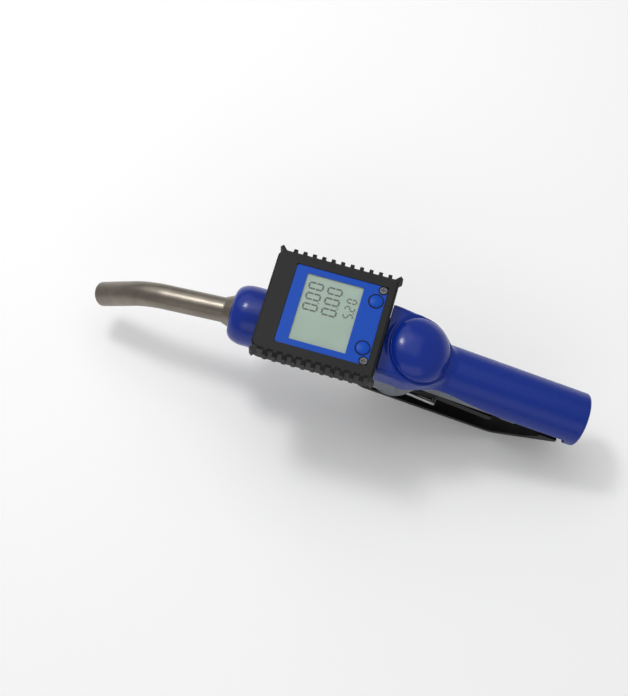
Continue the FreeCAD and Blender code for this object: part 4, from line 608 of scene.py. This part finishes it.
class NOZZLE_OT_cover(bpy.types.Operator):
    """Build the soft hand cover over the handle, the tower and the shoulders"""
    bl_idname = "nozzle.cover"
    bl_label = "Hand cover"

    def execute(self, context):
        """Rays leave the body's centre line in planes that turn from square to the handle to square to the
        barrel. Each is followed by halving to where the distance is zero."""
        travel = np.concatenate([np.linspace(0.0, 2.6, 12)[:-1],
                                 np.linspace(2.6, COVER_FRONT, COVER_ROWS)])
        tilt = degrees(HANDLE_TILT) * (1 - self.step((travel - 100.0) / 50.0))
        centre_x = np.where(travel < HANDLE_LEN, -travel * math.cos(degrees(HANDLE_TILT)),
                            BEND_X - (travel - HANDLE_LEN))
        centre_z = np.minimum(travel, HANDLE_LEN) * math.sin(degrees(HANDLE_TILT))
        centre = np.stack([centre_x, np.zeros_like(travel), centre_z], axis=-1)
        up = np.stack([np.sin(tilt), np.zeros_like(tilt), np.cos(tilt)], axis=-1)
        low = self.lower_angle(centre, up, travel)
        share = np.linspace(0.0, 1.0, COVER_COLUMNS)
        angle = low[:, None] + (np.pi - 2 * low[:, None]) * share
        grid = self.reach(centre, up, angle)
        piece = self.skin(grid)
        fit(piece, "root", "blue_cover", ["hand_cover"])
        return {"FINISHED"}

    def step(self, value):
        """A smooth step from 0 to 1: 3t^2 - 2t^3."""
        t = np.clip(value, 0.0, 1.0)
        return t * t * (3 - 2 * t)

    def reach(self, centre, up, angle):
        """The points where rays at these angles cross the cover's outside."""
        way = np.cos(angle)[..., None] * np.array([0.0, 1.0, 0.0]) + np.sin(angle)[..., None] * up[:, None, :]
        near, far = np.full(angle.shape, 4.0), np.full(angle.shape, 60.0)
        for _ in range(26):
            middle = (near + far) / 2
            outside = cover_distance(centre[:, None, :] + middle[..., None] * way) > 0
            far = np.where(outside, middle, far)
            near = np.where(outside, near, middle)
        return centre[:, None, :] + ((near + far) / 2)[..., None] * way

    def lower_angle(self, centre, up, travel):
        """The angle at which the cover's lower edge stands at its height over the handle's axis; closed as a
        ring for the last few millimetres at the inlet."""
        own = in_axes(centre, HANDLE)[:, 2]
        angle = np.full(travel.shape, 0.1)
        for _ in range(8):
            point = self.reach(centre, up, angle[:, None])[:, 0, :]
            radius = np.linalg.norm(point - centre, axis=-1)
            angle = np.arcsin(np.clip((cover_edge(travel) - own) / radius, -0.9, 0.9))
        ring = self.step((9.0 - travel) / 5.0)
        return angle * (1 - ring) - np.pi / 2 * ring

    def skin(self, grid):
        """The outside as a mesh with the room for the cap left open, thickened inwards."""
        rows, columns = grid.shape[:2]
        index = np.arange(rows * columns).reshape(rows, columns)
        corners = [index[:-1, :-1], index[:-1, 1:], index[1:, 1:], index[1:, :-1]]
        faces = np.stack(corners, axis=-1).reshape(-1, 4)
        own = in_axes(grid.reshape(-1, 3), VALVE)
        under_cap = (np.hypot(own[:, 0], own[:, 1]) < CAP_ROOM) & (own[:, 2] > TOWER_RIM - 1.8)
        faces = faces[~under_cap[faces].all(axis=1)]
        piece = face_mesh("cover_skin", grid.reshape(-1, 3), faces[:, ::-1])
        wall = piece.modifiers.new("skin", "SOLIDIFY")
        wall.thickness = size("cover_skin") * MM
        wall.offset = -1.0
        return piece


# ---------------------------------------------------------------- display face and small pieces

BUTTONS = {"select_button": -18.7, "reset_button": 18.7}
BUTTON_X = 27.9
PANEL_TOP = 47.0            # of the face over the barrel's axis
BAR_CORNERS = 24            # corner points that the part gives each bar of a figure
BAR_GROWTH = 0.4            # share by which a bar is widened, so that it is as wide as a real one


class NOZZLE_OT_buttons(bpy.types.Operator):
    """Build the domed push buttons and the raised rings round them"""
    bl_idname = "nozzle.buttons"
    bl_label = "Buttons"

    def execute(self, context):
        """Turned profiles: a button with a dished ring round its dome, and a ring of half-round section."""
        for name, across in BUTTONS.items():
            middle = BARREL[0] + np.array([BUTTON_X, across, PANEL_TOP])
            system = (middle, BARREL[1])
            t = np.linspace(0.0, 1.0, 16)
            dome = np.stack([0.4 + 0.7 * (1 - t[::-1] ** 2), 4.5 * t[::-1]], axis=-1)
            skirt = softened([(-3.4, 0.0, 0.0), (-3.4, 4.85, 0.2), (0.4, 4.85, 0.25)])
            button = turned(name + "_face", np.concatenate([skirt, dome]), system,
                            upright=True, steps=64)
            fit(button, name, "blue_panel", [name])
            turn = np.linspace(0.0, np.pi, 10)
            half = np.stack([0.42 * np.sin(turn), 5.35 - 0.45 * np.cos(turn)], axis=-1)
            ring = turned(name + "_ring", np.concatenate([half, [[-0.3, 5.8], [-0.3, 4.9]]]), system,
                          upright=True, steps=72)
            fit(ring, "root", "dark_plastic")
        return {"FINISHED"}


class NOZZLE_OT_figures(bpy.types.Operator):
    """Build the bars of the display's figures at the width they show"""
    bl_idname = "nozzle.figures"
    bl_label = "Figures"

    def execute(self, context):
        """Each bar of the part is a box, and its corners move out from its middle, across its narrow side
        only."""
        mesh = frame["nodes"]["lcd_digits"].data
        points = np.empty(len(mesh.vertices) * 3)
        mesh.vertices.foreach_get("co", points)
        bars = points.reshape(-1, BAR_CORNERS, 3) / MM
        low, high = bars.min(axis=1, keepdims=True), bars.max(axis=1, keepdims=True)
        span, middle = high - low, (high + low) / 2
        narrow = np.zeros_like(span)
        narrow[..., 0] = span[..., 0] <= span[..., 1] + 0.01
        narrow[..., 1] = span[..., 1] <= span[..., 0] + 0.01
        sign = np.array([[-1, -1, -1], [1, -1, -1], [1, 1, -1], [-1, 1, -1],
                         [-1, -1, 1], [1, -1, 1], [1, 1, 1], [-1, 1, 1]], float)
        large = span[..., :2].max(axis=-1, keepdims=True) > 3.0
        half = span / 2 * (1 + narrow * large * BAR_GROWTH)
        corners = middle + sign[None] * half
        box = np.array([[3, 2, 1, 0], [4, 5, 6, 7], [0, 1, 5, 4],
                        [1, 2, 6, 5], [2, 3, 7, 6], [3, 0, 4, 7]])
        faces = (np.arange(len(bars))[:, None, None] * 8 + box[None]).reshape(-1, 4)
        piece = face_mesh("display_figures", corners.reshape(-1, 3), faces)
        piece.data.polygons.foreach_set("use_smooth", [False] * len(piece.data.polygons))
        fit(piece, "root", "lcd_ink", ["lcd_digits"])
        return {"FINISHED"}


class NOZZLE_OT_thread(bpy.types.Operator):
    """Build the pipe thread inside the hose inlet"""
    bl_idname = "nozzle.thread"
    bl_label = "Inlet thread"

    def execute(self, context):
        """A helix: the section moves one pitch along for each turn, and its height follows a ridge."""
        pitch, turns, steps = 1.814, 9, 64
        turn = np.linspace(0.0, 2 * np.pi * turns, turns * steps + 1)
        along = -1.0 - pitch * turn / (2 * np.pi)
        fade = np.clip(np.minimum(turn, turn[-1] - turn) / np.pi, 0.05, 1.0)
        section = np.array([[-0.55, 0.0], [-0.18, -0.5], [0.18, -0.5], [0.55, 0.0], [0.0, 0.25]])
        x = along[:, None] + section[:, 0]
        radius = 12.06 + section[:, 1] * fade[:, None]
        grid = np.stack([x, radius * np.cos(turn)[:, None], radius * np.sin(turn)[:, None]], axis=-1)
        piece = grid_mesh("inlet_thread", from_axes(grid, HANDLE), False, True, merge=True)
        fit(piece, "root", "grey_casting")
        return {"FINISHED"}


class NOZZLE_OT_finishes(bpy.types.Operator):
    """Give every node of the part the finish of its material slot"""
    bl_idname = "nozzle.finishes"
    bl_label = "Finishes"

    def execute(self, context):
        """Reads each node's slot from the part's record."""
        for subpart in frame["record"]["subparts"]:
            node = frame["nodes"][subpart["node"]]
            node.data.materials.clear()
            node.data.materials.append(finish_of(subpart["material_slot"]))
        return {"FINISHED"}


# ---------------------------------------------------------------- studio

CAMERA_AT = (-132.5, -402.1, 1071.4)
CAMERA_RIGHT = (0.9617, 0.2705, 0.0328)
CAMERA_DOWN = (0.2642, -0.8964, -0.3547)
CAMERA_FORWARD = (-0.0665, 0.3497, -0.9344)
CAMERA_LENS = 77.6

# name: where it stands, where it points, width, height, power, all in metres and watts
LAMPS = {
    "glint": ((-0.62, 0.28, 1.05), (-0.18, 0.0, 0.02), 0.22, 0.22, 3.5),
    "key": ((-0.9, 0.7, 1.3), (-0.2, 0.0, 0.0), 1.8, 1.8, 6.5),
    "front": ((0.2, -1.5, 0.9), (-0.2, 0.0, 0.0), 2.2, 1.0, 5.0),
    "top": ((-0.2, 0.5, 2.0), (-0.2, 0.0, 0.0), 2.4, 1.8, 8.5),
}


class NOZZLE_OT_stage(bpy.types.Operator):
    """Build the pale floor, the soft lamps and the camera"""
    bl_idname = "nozzle.stage"
    bl_label = "Stage"

    def execute(self, context):
        self.floor()
        self.lamps()
        self.camera()
        return {"FINISHED"}

    def floor(self):
        """A wide flat grid just under the lowest point."""
        low = cad_box[0][2] / MM - 0.6
        side = np.linspace(-5000.0, 5000.0, 9)
        x, y = np.meshgrid(side, side, indexing="ij")
        floor = grid_mesh("floor", np.stack([x, y, np.full(x.shape, low)], axis=-1), False, False)
        floor.data.materials.append(surface("paper_white", linear("#FFFFFF"), 0.9)[0])
        world = bpy.data.worlds.new("studio")
        world.use_nodes = True
        backdrop = world.node_tree.nodes["Background"]
        backdrop.inputs["Color"].default_value = linear("#FFFFFF")
        backdrop.inputs["Strength"].default_value = 0.4
        bpy.context.scene.world = world
        bpy.context.scene.view_settings.view_transform = "Standard"

    def lamps(self):
        """Four soft rectangles of light, each turned to its aim."""
        for name, (spot, aim, wide, tall, power) in LAMPS.items():
            lamp = bpy.data.lights.new(name, "AREA")
            lamp.shape = "RECTANGLE"
            lamp.size, lamp.size_y, lamp.energy = wide, tall, power
            item = bpy.data.objects.new(name, lamp)
            item.location = spot
            item.rotation_euler = (Vector(aim) - Vector(spot)).to_track_quat("-Z", "Y").to_euler()
            bpy.context.scene.collection.objects.link(item)

    def camera(self):
        """A long lens above the display, turned by its own three directions."""
        lens = bpy.data.cameras.new("camera")
        lens.lens = CAMERA_LENS
        item = bpy.data.objects.new("camera", lens)
        right, up, back = Vector(CAMERA_RIGHT), -Vector(CAMERA_DOWN), -Vector(CAMERA_FORWARD)
        turn = Matrix((right, up, back)).transposed()
        item.matrix_world = Matrix.Translation(Vector(CAMERA_AT) * MM) @ turn.to_4x4()
        bpy.context.scene.collection.objects.link(item)
        bpy.context.scene.camera = item


# ---------------------------------------------------------------- panel and registration

STEPS = (NOZZLE_OT_finishes, NOZZLE_OT_spout, NOZZLE_OT_collar, NOZZLE_OT_cap, NOZZLE_OT_cover,
         NOZZLE_OT_buttons, NOZZLE_OT_figures, NOZZLE_OT_thread, NOZZLE_OT_stage)


class NOZZLE_PT_pieces(bpy.types.Panel):
    """The nozzle's sizes, colours and pieces"""
    bl_idname = "NOZZLE_PT_pieces"
    bl_label = "Nozzle"
    bl_space_type = "VIEW_3D"
    bl_region_type = "UI"
    bl_category = "Nozzle"

    def draw(self, context):
        for group in (context.scene.nozzle_sizes, context.scene.nozzle_colours):
            box = self.layout.box()
            for name in group.__annotations__:
                box.prop(group, name)
        for step in STEPS:
            self.layout.operator(step.bl_idname)


CLASSES = (NozzleSizes, NozzleColours) + STEPS + (NOZZLE_PT_pieces,)


def register():
    """Adds the classes, and puts the sizes and colours on the scene."""
    for item in CLASSES:
        bpy.utils.register_class(item)
    bpy.types.Scene.nozzle_sizes = PointerProperty(type=NozzleSizes)
    bpy.types.Scene.nozzle_colours = PointerProperty(type=NozzleColours)


def unregister():
    """Takes away what register added, in the opposite order."""
    del bpy.types.Scene.nozzle_colours
    del bpy.types.Scene.nozzle_sizes
    for item in reversed(CLASSES):
        bpy.utils.unregister_class(item)


def main():
    register()
    for step in STEPS:
        name = step.bl_idname.split(".")[1]
        if getattr(bpy.ops.nozzle, name)() != {"FINISHED"}:
            raise RuntimeError("the step %s did not finish" % name)


if __name__ == "__main__":
    main()
